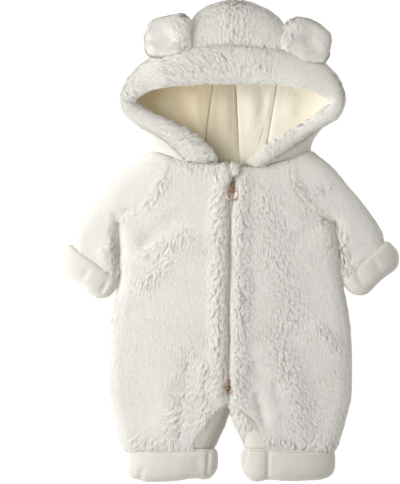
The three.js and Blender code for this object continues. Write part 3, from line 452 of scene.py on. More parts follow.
PLUSH_BASE = ClothFinish("plush_base", (0.84, 0.82, 0.765), (0.75, 0.725, 0.665), relief=0.0012, grain=500)
# The locks are painted darker towards their roots and in the tufts' troughs, and lighter at their tips and on
# the crests: painted shade and painted light over the pile's ivory.
PLUSH_LOCKS = ClothFinish("plush_locks", (0.95, 0.94, 0.905), (0.72, 0.70, 0.645), by_length=True)
FLEECE_CREAM = ClothFinish("fleece_cream", (0.80, 0.77, 0.70), (0.75, 0.715, 0.63), relief=0.0003)
# A darker copy of the cream fleece, for the left gusset: painted shade where it turns away.
FLEECE_PAINTED_SHADE = ClothFinish("fleece_painted_shade", (0.58, 0.54, 0.47), (0.51, 0.47, 0.40), relief=0.0003)
VELOUR_CUFF = ClothFinish("velour_cuff", (0.74, 0.715, 0.65), (0.68, 0.65, 0.58), relief=0.0002, grain=1400)
PLUSH_EAR = ClothFinish("plush_ear", (0.86, 0.84, 0.785), (0.80, 0.775, 0.71), relief=0.0005)
BRUSHED = {"relief": 0.0002, "grain": 1200}
# Lit and shaded copies of one lining cloth: painted shade on the left panels, painted light on the right
# ones.
LINING_SHADE = ClothFinish("lining_shade", (0.94, 0.84, 0.62), (0.88, 0.77, 0.54), **BRUSHED)
LINING_DEEP_SHADE = ClothFinish("lining_deep_shade", (0.78, 0.71, 0.545), (0.71, 0.635, 0.47), **BRUSHED)
LINING_PAINTED_LIGHT = ClothFinish("lining_painted_light", (0.94, 0.90, 0.78), (0.89, 0.84, 0.71), **BRUSHED)
TAPE = ClothFinish("zip_tape", (0.93, 0.86, 0.76), (0.85, 0.77, 0.67), relief=0.0002, grain=1600)
COIL = ClothFinish("zip_coil", (0.80, 0.68, 0.55), (0.62, 0.50, 0.39), roughness=0.4, sheen=0.0)
THREAD = ClothFinish("thread", (0.70, 0.66, 0.58), (0.60, 0.56, 0.48), roughness=0.7)
BROWN_THREAD = ClothFinish("brown_thread", (0.45, 0.34, 0.20), (0.36, 0.26, 0.15), roughness=0.7)
ROSE_GOLD = MetalFinish("rose_gold", (0.70, 0.44, 0.33))
COPPER = MetalFinish("copper", (0.44, 0.27, 0.20), roughness=0.3)


# Marks on the cloth
# Share of the distance along a streak that is left out, so that its tufts are longer than wide.
STREAK = 0.38
# A crease fades in over the ends of its line, which this share leaves open.
CREASE_END = 0.06
CREASE_FADE = 1.5


@dataclass(frozen=True)
class Stroke:
    """A soft mark along a line between two plan points, in millimetres, strongest on the line.

    Its amount is a height in millimetres for a crease and a share for ruffled or bare pile. Its turn, in
    degrees, is how far its tufts lie off the line.
    """

    start: tuple[float, float]
    end: tuple[float, float]
    half: float
    amount: float = 1.0
    turn: float = 0.0

    def along(self, places: Array) -> tuple[Array, Array]:
        """How far along the line each point is, and how far off it.

        Args:
            places: points as rows.

        Returns:
            The share of the line from 0 to 1, and the distance as a share of the mark's half width.
        """
        start, end = np.array(self.start) * MM, np.array(self.end) * MM
        way = end - start
        share = np.clip((places[:, :2] - start) @ way / (way @ way), 0, 1)
        off = np.linalg.norm(places[:, :2] - start - share[:, None] * way, axis=1) / (self.half * MM)
        return share, off

    def share(self, places: Array) -> Array:
        """How close each point is to the line, from 0 to 1."""
        return smooth_step(1 - self.along(places)[1])

    def crease(self, places: Array) -> Array:
        """How far the mark raises the cloth, fading to the line's ends.

        Args:
            places: points as rows.

        Returns:
            A height in metres for each point, less than 0 in a trough.
        """
        share, off = self.along(places)
        ends = smooth_step(CREASE_FADE * np.sin(math.pi * np.clip(share, CREASE_END, 1 - CREASE_END)))
        return self.amount * MM * smooth_step(1 - off) * ends

    def streaks(self, places: Array, wavelength: float, seed: int) -> Array:
        """Tufts drawn out along the line, or across it by its turn.

        Args:
            places: points as rows.
            wavelength: the distance between tufts, in metres.
            seed: picks the tufts.

        Returns:
            One value from about -1 to 1 for each point.
        """
        angle = math.atan2(self.end[1] - self.start[1], self.end[0] - self.start[0])
        angle += math.radians(self.turn)
        along = np.array([math.cos(angle), math.sin(angle), 0.0])
        drawn = places - STREAK * (places @ along)[:, None] * along
        return ripples(drawn, wavelength, seed)


def strongest(strokes: tuple[Stroke, ...], places: Array) -> Array:
    """The strongest of some marks at each point.

    Args:
        strokes: the marks.
        places: points as rows.

    Returns:
        A value from 0 to 1 for each point.
    """
    found = np.zeros(len(places))
    for stroke in strokes:
        found = np.maximum(found, stroke.amount * stroke.share(places))
    return found


# Pile
class Region(Enum):
    """Which faces of a shell carry pile."""

    FRONT = "upper layer, up to its side seams"
    BACK = "lower layer, clear of what it lies on"
    SLEEVE = "both layers of a sleeve"
    HOOD = "outside of the hood"
    BAND = "top and edges of the face band"
    ROUND = "all of a small piece"
    TOP = "upper side of a small piece"


HOOD_MIDDLE = np.array([0.010, 0.215, 0.050])
MOUTH_MIDDLE = (0.008, 0.205, 0.060)
# Pile starts this far above the surface, and changes layer at the side seams.
FLOOR_CLEAR = 0.0035
SEAM_LEVEL = 0.0155
SLEEVE_SEAM_LEVEL = 0.0215
# How far up or to the side a normal points where pile grows.
FACES_UP = 0.05
FACES_DOWN = 0.25
SIDEWAYS = 0.55
NOT_FLAT = 0.9
TOP_SIDE = 0.12
BAND_UNDERSIDE = -0.35
OUT_OF_HOOD = 0.01


def keeps(region: Region, places: Array, normals: Array) -> Array:
    """Tells which points of a shell are on its outer side.

    Args:
        region: the kind of shell.
        places: points as rows.
        normals: their normals.

    Returns:
        True for each point that carries pile.
    """
    up, height = normals[:, 2], places[:, 2]
    if region is Region.FRONT:
        return (up > FACES_UP) & (height > SEAM_LEVEL)
    if region is Region.BACK:
        return (up < FACES_DOWN) & (height > FLOOR_CLEAR) & (height < SEAM_LEVEL)
    if region is Region.SLEEVE:
        upper = (up > FACES_UP) & (height > SLEEVE_SEAM_LEVEL)
        lower = (np.abs(up) < NOT_FLAT) & (height > FLOOR_CLEAR) & (height < SLEEVE_SEAM_LEVEL)
        side = np.linalg.norm(normals[:, :2], axis=1) > SIDEWAYS
        return upper | (lower & side)
    if region is Region.HOOD:
        away = np.einsum("ij,ij->i", normals, places - HOOD_MIDDLE)
        return (away > OUT_OF_HOOD) & (height > FLOOR_CLEAR)
    if region is Region.BAND:
        return up > BAND_UNDERSIDE
    if region is Region.TOP:
        return up > TOP_SIDE
    return height > FLOOR_CLEAR


# Within this distance of the zip the left pile leans away from it and the right pile leans over it.
ZIP_NEAR = 0.014
OVER_ZIP_LEFT = -0.3
OVER_ZIP_RIGHT = 0.3


@dataclass(frozen=True)
class Lay:
    """How a pile is brushed: a main way, a pull to a point or from the zip, and unevenness."""

    way: tuple[float, float, float] = (0.0, -1.0, 0.0)
    towards: tuple[float, float, float] | None = None
    pull: float = 0.0
    from_zip: float = 0.0
    uneven: float = 0.5
    wavelength: float = 0.06

    def ways(self, places: Array, seed: int) -> Array:
        """The way the pile is brushed.

        Args:
            places: points as rows.
            seed: picks the unevenness.

        Returns:
            A way for each point, of any length.
        """
        ways = np.tile(np.array(self.way, float), (len(places), 1))
        if self.towards is not None:
            ways += self.pull * unit(np.array(self.towards) - places)
        if self.from_zip:
            off = places[:, 0] - zip_x(places[:, 1])
            near = np.exp(-((off / ZIP_NEAR) ** 2))
            over = np.where(off < 0, OVER_ZIP_LEFT, OVER_ZIP_RIGHT)
            ways[:, 0] += np.sign(off) * (self.from_zip * (1 - near) - over * near)
        for axis in range(3):
            ways[:, axis] += self.uneven * ripples(places, self.wavelength, seed + 11 * axis)
        return ways


@dataclass(frozen=True)
class Pile:
    """Short curved locks of pile, in metres. Where it is ruffled the locks stand up and clump."""

    lay: Lay
    spacing: float = 0.0014
    length: float = 0.0085
    width: float = 0.0015
    lift: tuple[float, float] = (0.10, 0.38)
    clump: tuple[float, float] = (0.0, 0.7)
    stray: tuple[float, float] = (0.08, 0.24)
    longer: float = 0.35
    tuft: float = 0.00062
    curl: float = 0.005
    ruffle: float = 0.35
    patches: float = 0.05
    patchiness: float = 0.22
    ruffles: tuple[Stroke, ...] = ()
    bare: tuple[Stroke, ...] = ()
    seed: int = 1

    def ruffled(self, roots: Array) -> Array:
        """How ruffled the pile is at each point, from 0 to 1."""
        base = self.ruffle + self.patchiness * ripples(roots, self.patches, self.seed + 3)
        return np.clip(np.maximum(base, strongest(self.ruffles, roots)), 0, 1)

    def relief(self, places: Array) -> Array:
        """How far the tufts raise the pile.

        Args:
            places: points as rows.

        Returns:
            A height in metres for each point.
        """
        base = np.full(len(places), 0.5 * self.ruffle)
        total, weights = base * ripples(places, self.curl, self.seed + 39), base
        for k, stroke in enumerate(self.ruffles):
            weight = stroke.amount * stroke.share(places)
            total = total + weight * stroke.streaks(places, self.curl, self.seed + 40 + k)
            weights = weights + weight
        return self.tuft * total / np.maximum(weights, 1)

    def slope(self, places: Array, ways: Array) -> Array:
        """How steeply the tufts rise at each point along its way."""
        return (self.relief(places + SLOPE_STEP * ways) - self.relief(places)) / SLOPE_STEP


# The zip's line from its lower end up, as rows of y and x in millimetres.
ZIP_ROWS = ((-247, 4), (-236, 2), (-217, 1), (-136, 2), (-28, 3), (58, 5), (92, 8.5), (120, 11))


def zip_x(heights: Array) -> Array:
    """The zip line's x at each y, in metres."""
    rows = np.array(ZIP_ROWS) * MM
    return np.interp(heights, rows[:, 0], rows[:, 1])


# Points drawn for each cell of the spacing, so that few cells stay empty.
DRAWN = 2.6
# Steps that give each cell of space a number of its own.
CELL_STEPS = (1, 4001, 16008001)


def scattered(piece: Piece, spacing: float, region: Region, seed: int) -> tuple[Array, Array]:
    """Points spread evenly over a shell's outer side.

    Args:
        piece: the shell.
        spacing: the distance between points.
        region: which faces count.
        seed: picks the points.

    Returns:
        The points and their normals.
    """
    mesh = piece.data
    mesh.calc_loop_triangles()
    places, normals = corners_of(piece), corner_normals(piece)
    corners = np.zeros(len(mesh.loop_triangles) * 3, int)
    mesh.loop_triangles.foreach_get("vertices", corners)
    corners = corners.reshape(-1, 3)
    a, b, c = (places[corners[:, k]] for k in range(3))
    areas = np.linalg.norm(np.cross(b - a, c - a), axis=1) / 2
    draw = np.random.default_rng(seed)
    count = int(DRAWN * areas.sum() / spacing**2)
    chosen = draw.choice(len(areas), size=count, p=areas / areas.sum())
    u, v = np.sqrt(draw.random(count)), draw.random(count)
    shares = np.stack([1 - u, u * (1 - v), u * v], axis=1)
    spots = np.einsum("ij,ijk->ik", shares, places[corners[chosen]])
    facing = unit(np.einsum("ij,ijk->ik", shares, normals[corners[chosen]]))
    kept = keeps(region, spots, facing)
    spots, facing = spots[kept], facing[kept]
    cells = np.floor(spots / spacing).astype(np.int64)
    _, first = np.unique(cells @ np.array(CELL_STEPS), return_index=True)
    return spots[first], facing[first]


# A lock's faces and the place of each of its points between root and tip.
LOCK_POINTS = 5
LOCK_FACES = ((0, 3, 1), (0, 2, 3), (2, 4, 3))
LOCK_HEIGHTS = (0.0, 0.0, 0.5, 0.5, 1.0)
# How deep a lock's root sits, how wide it is half way, and how far it bows out there.
LOCK_ROOT = 0.0005
LOCK_MIDDLE = 0.9
LOCK_BOW = 0.12
# How the locks' lengths, widths, lifts and pulls vary.
SIZES_VARY = (0.75, 1.25)
LIFTS_VARY = (0.7, 1.3)
PULLS_VARY = (0.5, 1.0)
# The share of the locks that others lean towards.
CLUMP_SHARE = 0.07
# The distance over which the tufts' slope is measured.
SLOPE_STEP = 0.0004
# How much of a lock's shading follows the shell, where it is smooth and where it is ruffled.
SOFT_NORMAL = (0.9, 0.78)
# Deep pile scatters the light from above, so the locks' normals lean upwards.
SKY_SHARE = 0.45
UNDER_NORMAL = -0.5
# A lock's own value: what chance adds as tone, what its tuft's height adds as painted shade in the troughs
# and painted light on the crests, and the height where that starts.
TONE_CHANCE = 0.35
TUFT_SHADE = 0.5
TONE_START = 0.6
# The share of a bare mark at which the pile stops, and how much shorter it is there.
BARE_FROM = 0.6
SHORTEST = 0.75
FLOOR_GAP = 0.0004


def between(pair: tuple[float, float], share: Array) -> Array:
    """Values between a pair, by share."""
    return pair[0] + (pair[1] - pair[0]) * share


def grow_pile(shell: Piece, name: str, pile: Pile, region: Region) -> Piece:
    """Locks of pile on a shell, as one joined mesh.

    Args:
        shell: the piece that the pile grows on.
        name: the pile's name.
        pile: its sizes and lay.
        region: which faces carry it.

    Returns:
        The pile as a new piece.
    """
    roots, normals = scattered(shell, pile.spacing, region, pile.seed)
    thin = strongest(pile.bare, roots) * (normals[:, 2] > 0)
    kept = thin < BARE_FROM
    roots, normals, thin = roots[kept], normals[kept], thin[kept]
    draw = np.random.default_rng(pile.seed + 1000)
    count = len(roots)
    ruffled = pile.ruffled(roots)
    ways = pile.lay.ways(roots, pile.seed)
    ways += between(pile.stray, ruffled)[:, None] * draw.normal(size=ways.shape)
    ways = unit(ways - normals * np.einsum("ij,ij->i", ways, normals)[:, None])
    lengths = pile.length * between(SIZES_VARY, draw.random(count)) * (1 + pile.longer * ruffled)
    lengths *= 1 - SHORTEST * thin / BARE_FROM
    lift = between(pile.lift, ruffled) * between(LIFTS_VARY, draw.random(count))
    tips = roots + ways * (lengths * np.sqrt(1 - lift**2))[:, None]
    tips += normals * (lengths * lift)[:, None]
    nearest = clump_centres(roots, draw)
    pull = between(pile.clump, ruffled) * between(PULLS_VARY, draw.random(count))
    tips += pull[:, None] * (tips[nearest] - tips)
    middles = (roots + tips) / 2 + normals * (LOCK_BOW * lengths)[:, None]
    across = np.cross(normals, ways)
    widths = pile.width * between(SIZES_VARY, draw.random(count)) / 2
    soft = between(SOFT_NORMAL, ruffled)[:, None]
    sunk = normals * LOCK_ROOT
    relief = pile.relief(roots)
    rise = normals * relief[:, None]
    roots, middles, tips = roots + rise, middles + rise, tips + rise
    slopes = [pile.slope(roots, way)[:, None] * way for way in (ways, across)]
    # Tone by chance, with painted shade in the tufts' troughs and painted light on their crests.
    tones = TONE_CHANCE * draw.random(count) + TUFT_SHADE * (relief / pile.tuft + TONE_START)
    normals = normals - slopes[0] - slopes[1]
    normals[:, 2] += SKY_SHARE * (normals[:, 2] > UNDER_NORMAL)
    normals = unit(normals)
    points, shading = [], []
    for centre, wide in ((roots - sunk, 1.0), (middles, LOCK_MIDDLE)):
        for side in (-across, across):
            points.append(centre + side * (wide * widths)[:, None])
            shading.append(unit(soft * normals + (1 - soft) * side))
    points.append(tips)
    shading.append(unit(soft * normals + (1 - soft) * ways))
    corners = np.stack(points, axis=1).reshape(-1, 3)
    corners[:, 2] = np.maximum(corners[:, 2], FLOOR_GAP)
    return joined_locks(name, corners, np.stack(shading, axis=1).reshape(-1, 3), np.clip(tones, 0, 1))


def clump_centres(roots: Array, draw: np.random.Generator) -> Array:
    """Which lock each lock leans towards.

    Args:
        roots: the locks' roots.
        draw: the source of chance.

    Returns:
        An index for each lock.
    """
    centres = draw.choice(len(roots), size=max(1, int(len(roots) * CLUMP_SHARE)), replace=False)
    tree = KDTree(len(centres))
    for k, index in enumerate(centres):
        tree.insert(roots[index], k)
    tree.balance()
    return np.array([centres[tree.find(root)[1]] for root in roots])


def joined_locks(name: str, corners: Array, shading: Array, tones: Array) -> Piece:
    """One mesh of many locks.

    Args:
        name: the piece's name.
        corners: five points a lock: two at the root, two half way, one at the tip.
        shading: a normal for each point.
        tones: a value from 0 to 1 for each lock, tone by chance with painted tuft shade, kept in the UV map
            with the place along the lock.

    Returns:
        The piece.
    """
    firsts = LOCK_POINTS * np.arange(len(tones))
    faces = (np.array(LOCK_FACES)[None] + firsts[:, None, None]).reshape(-1, 3)
    mesh = bpy.data.meshes.new(name)
    mesh.vertices.add(len(corners))
    mesh.vertices.foreach_set("co", corners.ravel())
    mesh.loops.add(faces.size)
    mesh.loops.foreach_set("vertex_index", faces.ravel())
    mesh.polygons.add(len(faces))
    mesh.polygons.foreach_set("loop_start", np.arange(0, faces.size, 3))
    mesh.polygons.foreach_set("use_smooth", np.ones(len(faces), bool))
    along = np.array(LOCK_HEIGHTS)[faces % LOCK_POINTS]
    layer = mesh.uv_layers.new(name="lock")
    layer.data.foreach_set("uv", np.stack([tones[faces // LOCK_POINTS], along], axis=-1).ravel())
    mesh.update(calc_edges=True)
    mesh.normals_split_custom_set_from_vertices(shading)
    piece = bpy.data.objects.new(name, mesh)
    bpy.context.scene.collection.objects.link(piece)
    return piece


# Cloth
# An ear's hollow: its depth in metres, half its width and length in millimetres, and the faces it sinks.
HOLLOW_DEPTH = 0.004
HOLLOW_HALF = 24
HOLLOW_REACH = 6
HOLLOW_FACES = 0.1
# Creases fade in above this height, over this rise, so that the side seams stay where they are.
CREASE_FROM = 0.018
CREASE_RISE = 0.012


@dataclass
class Panel:
    """A sewn panel of padded cloth on its CAD solid's form, with its creases and its pile.

    Its sizes are in metres, and its hollow is a plan point in millimetres.
    """

    node: str
    slot: str
    finish: ClothFinish
    voxel: float = 0.0032
    smoothing: int = 2
    fill: float = 0.5
    swell: float = 0.0011
    hollow: tuple[float, float] | None = None
    creases: tuple[Stroke, ...] = ()
    pile: Pile | None = None
    region: Region = Region.ROUND

    def shape(self) -> Piece:
        """Remeshes the solid evenly, pads it out and creases it.

        Returns:
            The padded shell.
        """
        piece = copied(self.node, self.node + "_cloth")
        finish_with(piece, "REMESH", mode="VOXEL", voxel_size=self.voxel)
        finish_with(piece, "SMOOTH", factor=0.5, iterations=self.smoothing)
        normals = corner_normals(piece)
        places = corners_of(piece) + self.swell * normals
        outer = smooth_step((places[:, 2] - CREASE_FROM) / CREASE_RISE)
        if self.region is Region.BACK:
            outer = np.ones(len(places))
        for crease in self.creases:
            places += (crease.crease(places) * outer)[:, None] * normals
        if self.hollow:
            x, y = self.hollow
            dent = Stroke((x, y - HOLLOW_REACH), (x, y + HOLLOW_REACH), HOLLOW_HALF)
            places[:, 2] -= HOLLOW_DEPTH * dent.share(places) * (normals[:, 2] > HOLLOW_FACES)
        places[:, 2] = np.maximum(places[:, 2], 0)
        move_corners(piece, places)
        smooth_faces(piece)
        return piece

    def build(self) -> None:
        shell = seat(self.shape(), self.finish.material())
        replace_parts(shell, self.node)
        if self.pile:
            locks = grow_pile(shell, self.node + "_pile", self.pile, self.region)
            seat(locks, PLUSH_LOCKS.material())


BODY_LAY = Lay(way=(0.0, -1.0, -0.1), from_zip=0.35, uneven=0.5, wavelength=0.08)

LEFT_FRONT_CREASES = (
    Stroke((-140, -6), (-96, 26), 20, -2.4),
    Stroke((-134, -52), (-52, 8), 20, -2.0),
    Stroke((-120, -20), (-60, 34), 16, 1.4),
    Stroke((-54, -168), (-69, -228), 14, -3.0),
    Stroke((-69, -228), (-74, -314), 12, -3.0),
    Stroke((-35, -182), (-49, -250), 12, 2.4),
    Stroke((-92, -200), (-104, -300), 22, 1.8),
    Stroke((-160, -110), (-118, -96), 18, -1.4),
)
LEFT_FRONT_RUFFLES = (
    Stroke((-128, -58), (-58, 18), 27, 1.0, 12),
    Stroke((-130, -20), (-104, 6), 14, 0.8),
    Stroke((-60, -180), (-80, -300), 36, 0.9, -20),
    Stroke((-140, -306), (-60, -314), 20, 1.0, 90),
    Stroke((-11, 84), (-13, -226), 23, 1.0, -24),
    Stroke((-30, -190), (-34, -276), 18, 1.0, -10),
    Stroke((-64, 118), (-16, 112), 13, 1.0, 80),
    Stroke((-93, 100), (-128, 48), 9, 0.9, 70),
    Stroke((-170, -60), (-176, -120), 12, 0.7, 70),
)
RIGHT_FRONT_CREASES = (
    Stroke((120, 66), (150, 34), 13, 2.4),
    Stroke((36, -151), (122, -146), 18, -1.8),
    Stroke((40, -168), (112, -172), 16, 1.6),
    Stroke((29, -184), (85, -228), 14, -2.8),
    Stroke((44, -223), (58, -290), 11, -3.2),
    Stroke((60, -200), (76, -290), 14, 2.2),
    Stroke((130, -120), (168, -160), 18, 2.0),
)
RIGHT_FRONT_RUFFLES = (
    Stroke((22, 96), (22, -240), 30, 1.0, 16),
    Stroke((60, 70), (96, -120), 50, 0.85, 10),
    Stroke((100, 114), (124, 96), 16, 1.0, 60),
    Stroke((122, 70), (146, 28), 15, 1.0, 50),
    Stroke((74, -140), (126, -290), 46, 0.9, 30),
    Stroke((146, -130), (170, -162), 17, 1.0, 40),
    Stroke((160, 6), (178, -60), 12, 0.8),
    Stroke((40, -306), (160, -314), 18, 1.0, 90),
)
# Pile is short where the pull rings lie, so that they show.
RING_BARE = (Stroke((7, 86), (7, 68), 20, 0.59), Stroke((1, -222), (1, -232), 13, 0.59))
# The guard's pile is left off where the upper ring stands up beside it.
CHIN_BARE = (Stroke((-2, 82), (8, 90), 14),)
BACK_CREASES = (
    Stroke((-70, 60), (-120, 10), 20, -1.8),
    Stroke((80, 64), (128, 12), 22, -1.6),
    Stroke((-40, -170), (-80, -250), 18, -2.0),
    Stroke((44, -176), (90, -236), 16, -2.2),
)


def body_panels() -> list[Panel]:
    """The body's cut pieces.

    Returns:
        The fronts, the back and the gussets.
    """
    left = Pile(BODY_LAY, ruffle=0.12, ruffles=LEFT_FRONT_RUFFLES, bare=RING_BARE, seed=3)
    right = Pile(BODY_LAY, ruffle=0.25, ruffles=RIGHT_FRONT_RUFFLES, bare=RING_BARE, seed=5,
                 length=0.0066, curl=0.0042, tuft=0.0005, stray=(0.1, 0.34))
    under = Pile(BODY_LAY, ruffle=0.3, seed=7)
    low_right = Pile(BODY_LAY, ruffle=0.8, bare=(Stroke((44, -306), (40, -330), 40),), seed=8)
    plush = {"slot": "plush", "finish": PLUSH_BASE}
    return [
        Panel("front_left", region=Region.FRONT, creases=LEFT_FRONT_CREASES, pile=left, **plush),
        Panel("front_right", region=Region.FRONT, creases=RIGHT_FRONT_CREASES, pile=right, **plush),
        Panel("back", region=Region.BACK, creases=BACK_CREASES, pile=under, voxel=0.0045, **plush),
        # The left gusset wears the cream fleece painted darker, as painted shade.
        Panel("gusset_left", "gusset", FLEECE_PAINTED_SHADE, voxel=0.003),
        Panel("gusset_right", "gusset", FLEECE_CREAM, voxel=0.003, region=Region.FRONT, pile=low_right),
    ]


SLEEVE_CREASES = {
    "left": (
        Stroke((-183, 4), (-142, 50), 18, -2.6),
        Stroke((-200, -22), (-172, -4), 14, 2.0),
        Stroke((-168, 24), (-172, -50), 13, -3.2),
        Stroke((-190, 40), (-160, 60), 16, 1.6),
    ),
    "right": (
        Stroke((184, 8), (148, 48), 16, -2.6),
        Stroke((186, -40), (210, -20), 13, 2.0),
        Stroke((170, 22), (180, -50), 12, -2.8),
    ),
}
SLEEVE_RUFFLES = {
    "left": (
        Stroke((-178, -8), (-146, 46), 22, 1.0, 50),
        Stroke((-170, 14), (-172, -54), 16, 1.0, 20),
        Stroke((-92, 108), (-132, 46), 12, 0.9, 70),
        Stroke((-236, -8), (-170, -58), 12, 1.0, 90),
    ),
    "right": (
        Stroke((172, 20), (182, -50), 16, 1.0, 20),
        Stroke((102, 100), (132, 52), 13, 1.0, 60),
        Stroke((120, 78), (150, 88), 13, 0.8, 40),
        Stroke((180, -58), (240, -4), 12, 1.0, 90),
    ),
}


def sleeve_panels() -> list[Panel]:
    """The two raglan sleeves.

    Returns:
        The left and the right one, each brushed down to its cuff.
    """
    panels = []
    for side, outwards, seed in (("left", -0.7, 13), ("right", 0.7, 14)):
        lay = Lay(way=(outwards, -0.8, 0.0), uneven=0.35)
        pile = Pile(lay, ruffle=0.1, ruffles=SLEEVE_RUFFLES[side], seed=seed)
        panels.append(Panel(f"sleeve_{side}", "plush", PLUSH_BASE, region=Region.SLEEVE,
                            creases=SLEEVE_CREASES[side], pile=pile))
    return panels


CROWN_RUFFLES = (
    Stroke((12, 372), (12, 312), 46, 0.95, 0),
    Stroke((-40, 303), (70, 303), 14, 1.0, 90),
)
BAND_RUFFLES = (
    Stroke((-104, 262), (-10, 282), 34, 1.0, 60),
    Stroke((0, 276), (60, 274), 24, 0.8, 70),
    Stroke((-110, 246), (-20, 254), 13, 1.0, 70),
    Stroke((-20, 254), (116, 244), 13, 1.0, 110),
    Stroke((-150, 224), (-60, 160), 26, 1.0, 70),
    Stroke((-60, 160), (-30, 128), 18, 1.0, 60),
    Stroke((164, 214), (60, 140), 22, 1.0, 110),
)
EAR_BARE = {
    "left": (Stroke((-116, 298), (-100, 326), 32, 0.59),),
    "right": (Stroke((141, 288), (134, 322), 34, 0.59),),
}
EAR_HOLLOW = {"left": (-102, 316), "right": (132, 308)}
EAR_RUFFLES = {
    "left": (Stroke((-72, 298), (-70, 346), 18),),
    "right": (Stroke((92, 296), (98, 340), 18),),
}


def hood_panels() -> list[Panel]:
    """The hood's outer pieces and the guard below it.

    Returns:
        The crown, the sides, the band, the guard at the zip's top and the ears.
    """
    crown_lay = Lay(way=(0.0, -1.0, 0.5), uneven=0.25)
    band_lay = Lay(way=(0.25, -0.1, 0.0), towards=MOUTH_MIDDLE, pull=1.0, uneven=0.3)
    small_lay = Lay(way=(0.0, -0.5, 0.4), uneven=0.6, wavelength=0.02)
    crown = Pile(crown_lay, ruffle=0.15, ruffles=CROWN_RUFFLES, seed=13)
    band = Pile(band_lay, length=0.0095, ruffle=0.3, ruffles=BAND_RUFFLES, seed=15)
    guard = Pile(small_lay, spacing=0.0010, length=0.0045, width=0.0013, ruffle=0.8, tuft=0.0006,
                 bare=CHIN_BARE, seed=21)
    panels = [
        Panel("hood_crown", "plush", PLUSH_BASE, region=Region.HOOD, pile=crown),
        Panel("hood_side_left", "hood_side", FLEECE_CREAM),
        Panel("hood_side_right", "hood_side", FLEECE_CREAM),
        Panel("face_band", "plush", PLUSH_BASE, voxel=0.003, region=Region.BAND, pile=band),
        Panel("chin_guard", "ear", PLUSH_EAR, voxel=0.0014, region=Region.TOP, pile=guard),
    ]
    for side in ("left", "right"):
        ear = Pile(small_lay, spacing=0.0013, length=0.006, ruffle=0.3, ruffles=EAR_RUFFLES[side],
                   bare=EAR_BARE[side], seed=17)
        hollow = EAR_HOLLOW[side]
        panels.append(Panel(f"ear_{side}", "ear", PLUSH_EAR, voxel=0.0022, hollow=hollow, pile=ear))
    return panels


CUFF_CREASES = {
    "sleeve_cuff_left": (
        Stroke((-186, -60), (-198, -82), 6, -2.0),
        Stroke((-214, -40), (-226, -58), 9, -1.4),
    ),
    "sleeve_cuff_right": (
        Stroke((196, -44), (210, -70), 7, -1.8),
        Stroke((222, -22), (238, -44), 9, -1.4),
    ),
    "leg_cuff_left": (
        Stroke((-29, -320), (-32, -368), 5, -2.6),
        Stroke((-47, -330), (-44, -360), 12, -1.4),
        Stroke((-130, -346), (-138, -374), 8, -1.5),
        Stroke((-140, -322), (-60, -325), 7, -1.2),
    ),
    "leg_cuff_right": (
        Stroke((30, -318), (24, -352), 6, -2.2),
        Stroke((63, -318), (62, -370), 5, -2.8),
        Stroke((84, -330), (76, -356), 14, -1.0),
        Stroke((70, -325), (150, -322), 7, -1.2),
    ),
}


def cuff_panels() -> list[Panel]:
    """The turned-back cuffs.

    Returns:
        The two sleeve cuffs and the two leg cuffs.
    """
    return [
        Panel(node, "cuff", VELOUR_CUFF, voxel=0.0024, smoothing=3, fill=0.6, creases=creases)
        for node, creases in CUFF_CREASES.items()
    ]


@dataclass
class Lining:
    """The hood's lining: four thin panels of brushed cloth, lifted a little off the hood's wall."""

    # One cloth in four copies: painted shade on the left panels, painted light on the right.
    panels: tuple[tuple[str, ClothFinish], ...] = (
        ("hood_lining_side_left", LINING_SHADE),
        ("hood_lining_middle_left", LINING_DEEP_SHADE),
        ("hood_lining_middle_right", LINING_PAINTED_LIGHT),
        ("hood_lining_side_right", LINING_PAINTED_LIGHT),
    )
    smoothing: int = 10
    lift: float = 0.0035
    creases: tuple[Stroke, ...] = (
        Stroke((-24, 250), (-31, 205), 9, -2.5),
        Stroke((-52, 246), (-44, 160), 16, 3.5),
        Stroke((-76, 240), (-66, 190), 12, -2.5),
        Stroke((-112, 226), (-84, 200), 16, 3.0),
        Stroke((-4, 246), (0, 160), 14, 3.0),
        Stroke((36, 246), (40, 170), 16, 3.5),
        Stroke((56, 236), (54, 200), 9, -2.5),
        Stroke((100, 236), (96, 190), 18, 3.5),
        Stroke((14, 252), (18, 124), 5, -2.0),
        Stroke((-22, 252), (-36, 140), 5, -2.0),
        Stroke((78, 252), (62, 150), 5, -2.0),
    )

    def build(self) -> None:
        """Shapes each panel and seats it with its finish."""
        for node, finish in self.panels:
            piece = copied(node, node + "_cloth")
            finish_with(piece, "SUBSURF", subdivision_type="SIMPLE", levels=2, render_levels=2)
            plan = corners_of(piece)[:, :2]
            finish_with(piece, "SMOOTH", factor=0.5, iterations=self.smoothing)
            places = corners_of(piece)
            places[:, :2] = plan
            places[:, 2] += self.lift
            for crease in self.creases:
                places[:, 2] += crease.crease(places)
            move_corners(piece, places)
            smooth_faces(piece)
            seat(piece, finish.material())
            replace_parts(piece, node)


# Sewing and metal
def primitive(name: str, operator: object, **settings: object) -> Piece:
    """A new piece from one of Blender's mesh primitives, with its place applied to the mesh.

    Args:
        name: the piece's name.
        operator: the operator that adds the primitive.
        settings: the operator's own settings.

    Returns:
        The piece.
    """
    deselect()
    operator(**settings)
    piece = bpy.context.object
    piece.name = name
    piece.data.name = name
    bpy.ops.object.transform_apply(location=True, rotation=True, scale=True)
    return piece


def repeated(template: Piece, name: str, places: list[Matrix]) -> Piece:
    """One joined mesh of a template at many places; the template is taken away.

    Args:
        template: the piece to repeat.
        name: the new piece's name.
        places: where each copy goes.

    Returns:
        The new piece.
    """
    corners = corners_of(template)
    faces = [tuple(face.vertices) for face in template.data.polygons]
    all_corners, all_faces = [], []
    for k, place in enumerate(places):
        turn = np.array(place.to_3x3())
        all_corners.append(corners @ turn.T + np.array(place.translation))
        all_faces += [tuple(c + k * len(corners) for c in face) for face in faces]
    mesh = bpy.data.meshes.new(name)
    mesh.from_pydata(np.concatenate(all_corners).tolist(), [], all_faces)
    piece = bpy.data.objects.new(name, mesh)
    bpy.context.scene.collection.objects.link(piece)
    bpy.data.objects.remove(template)
    smooth_faces(piece)
    return piece


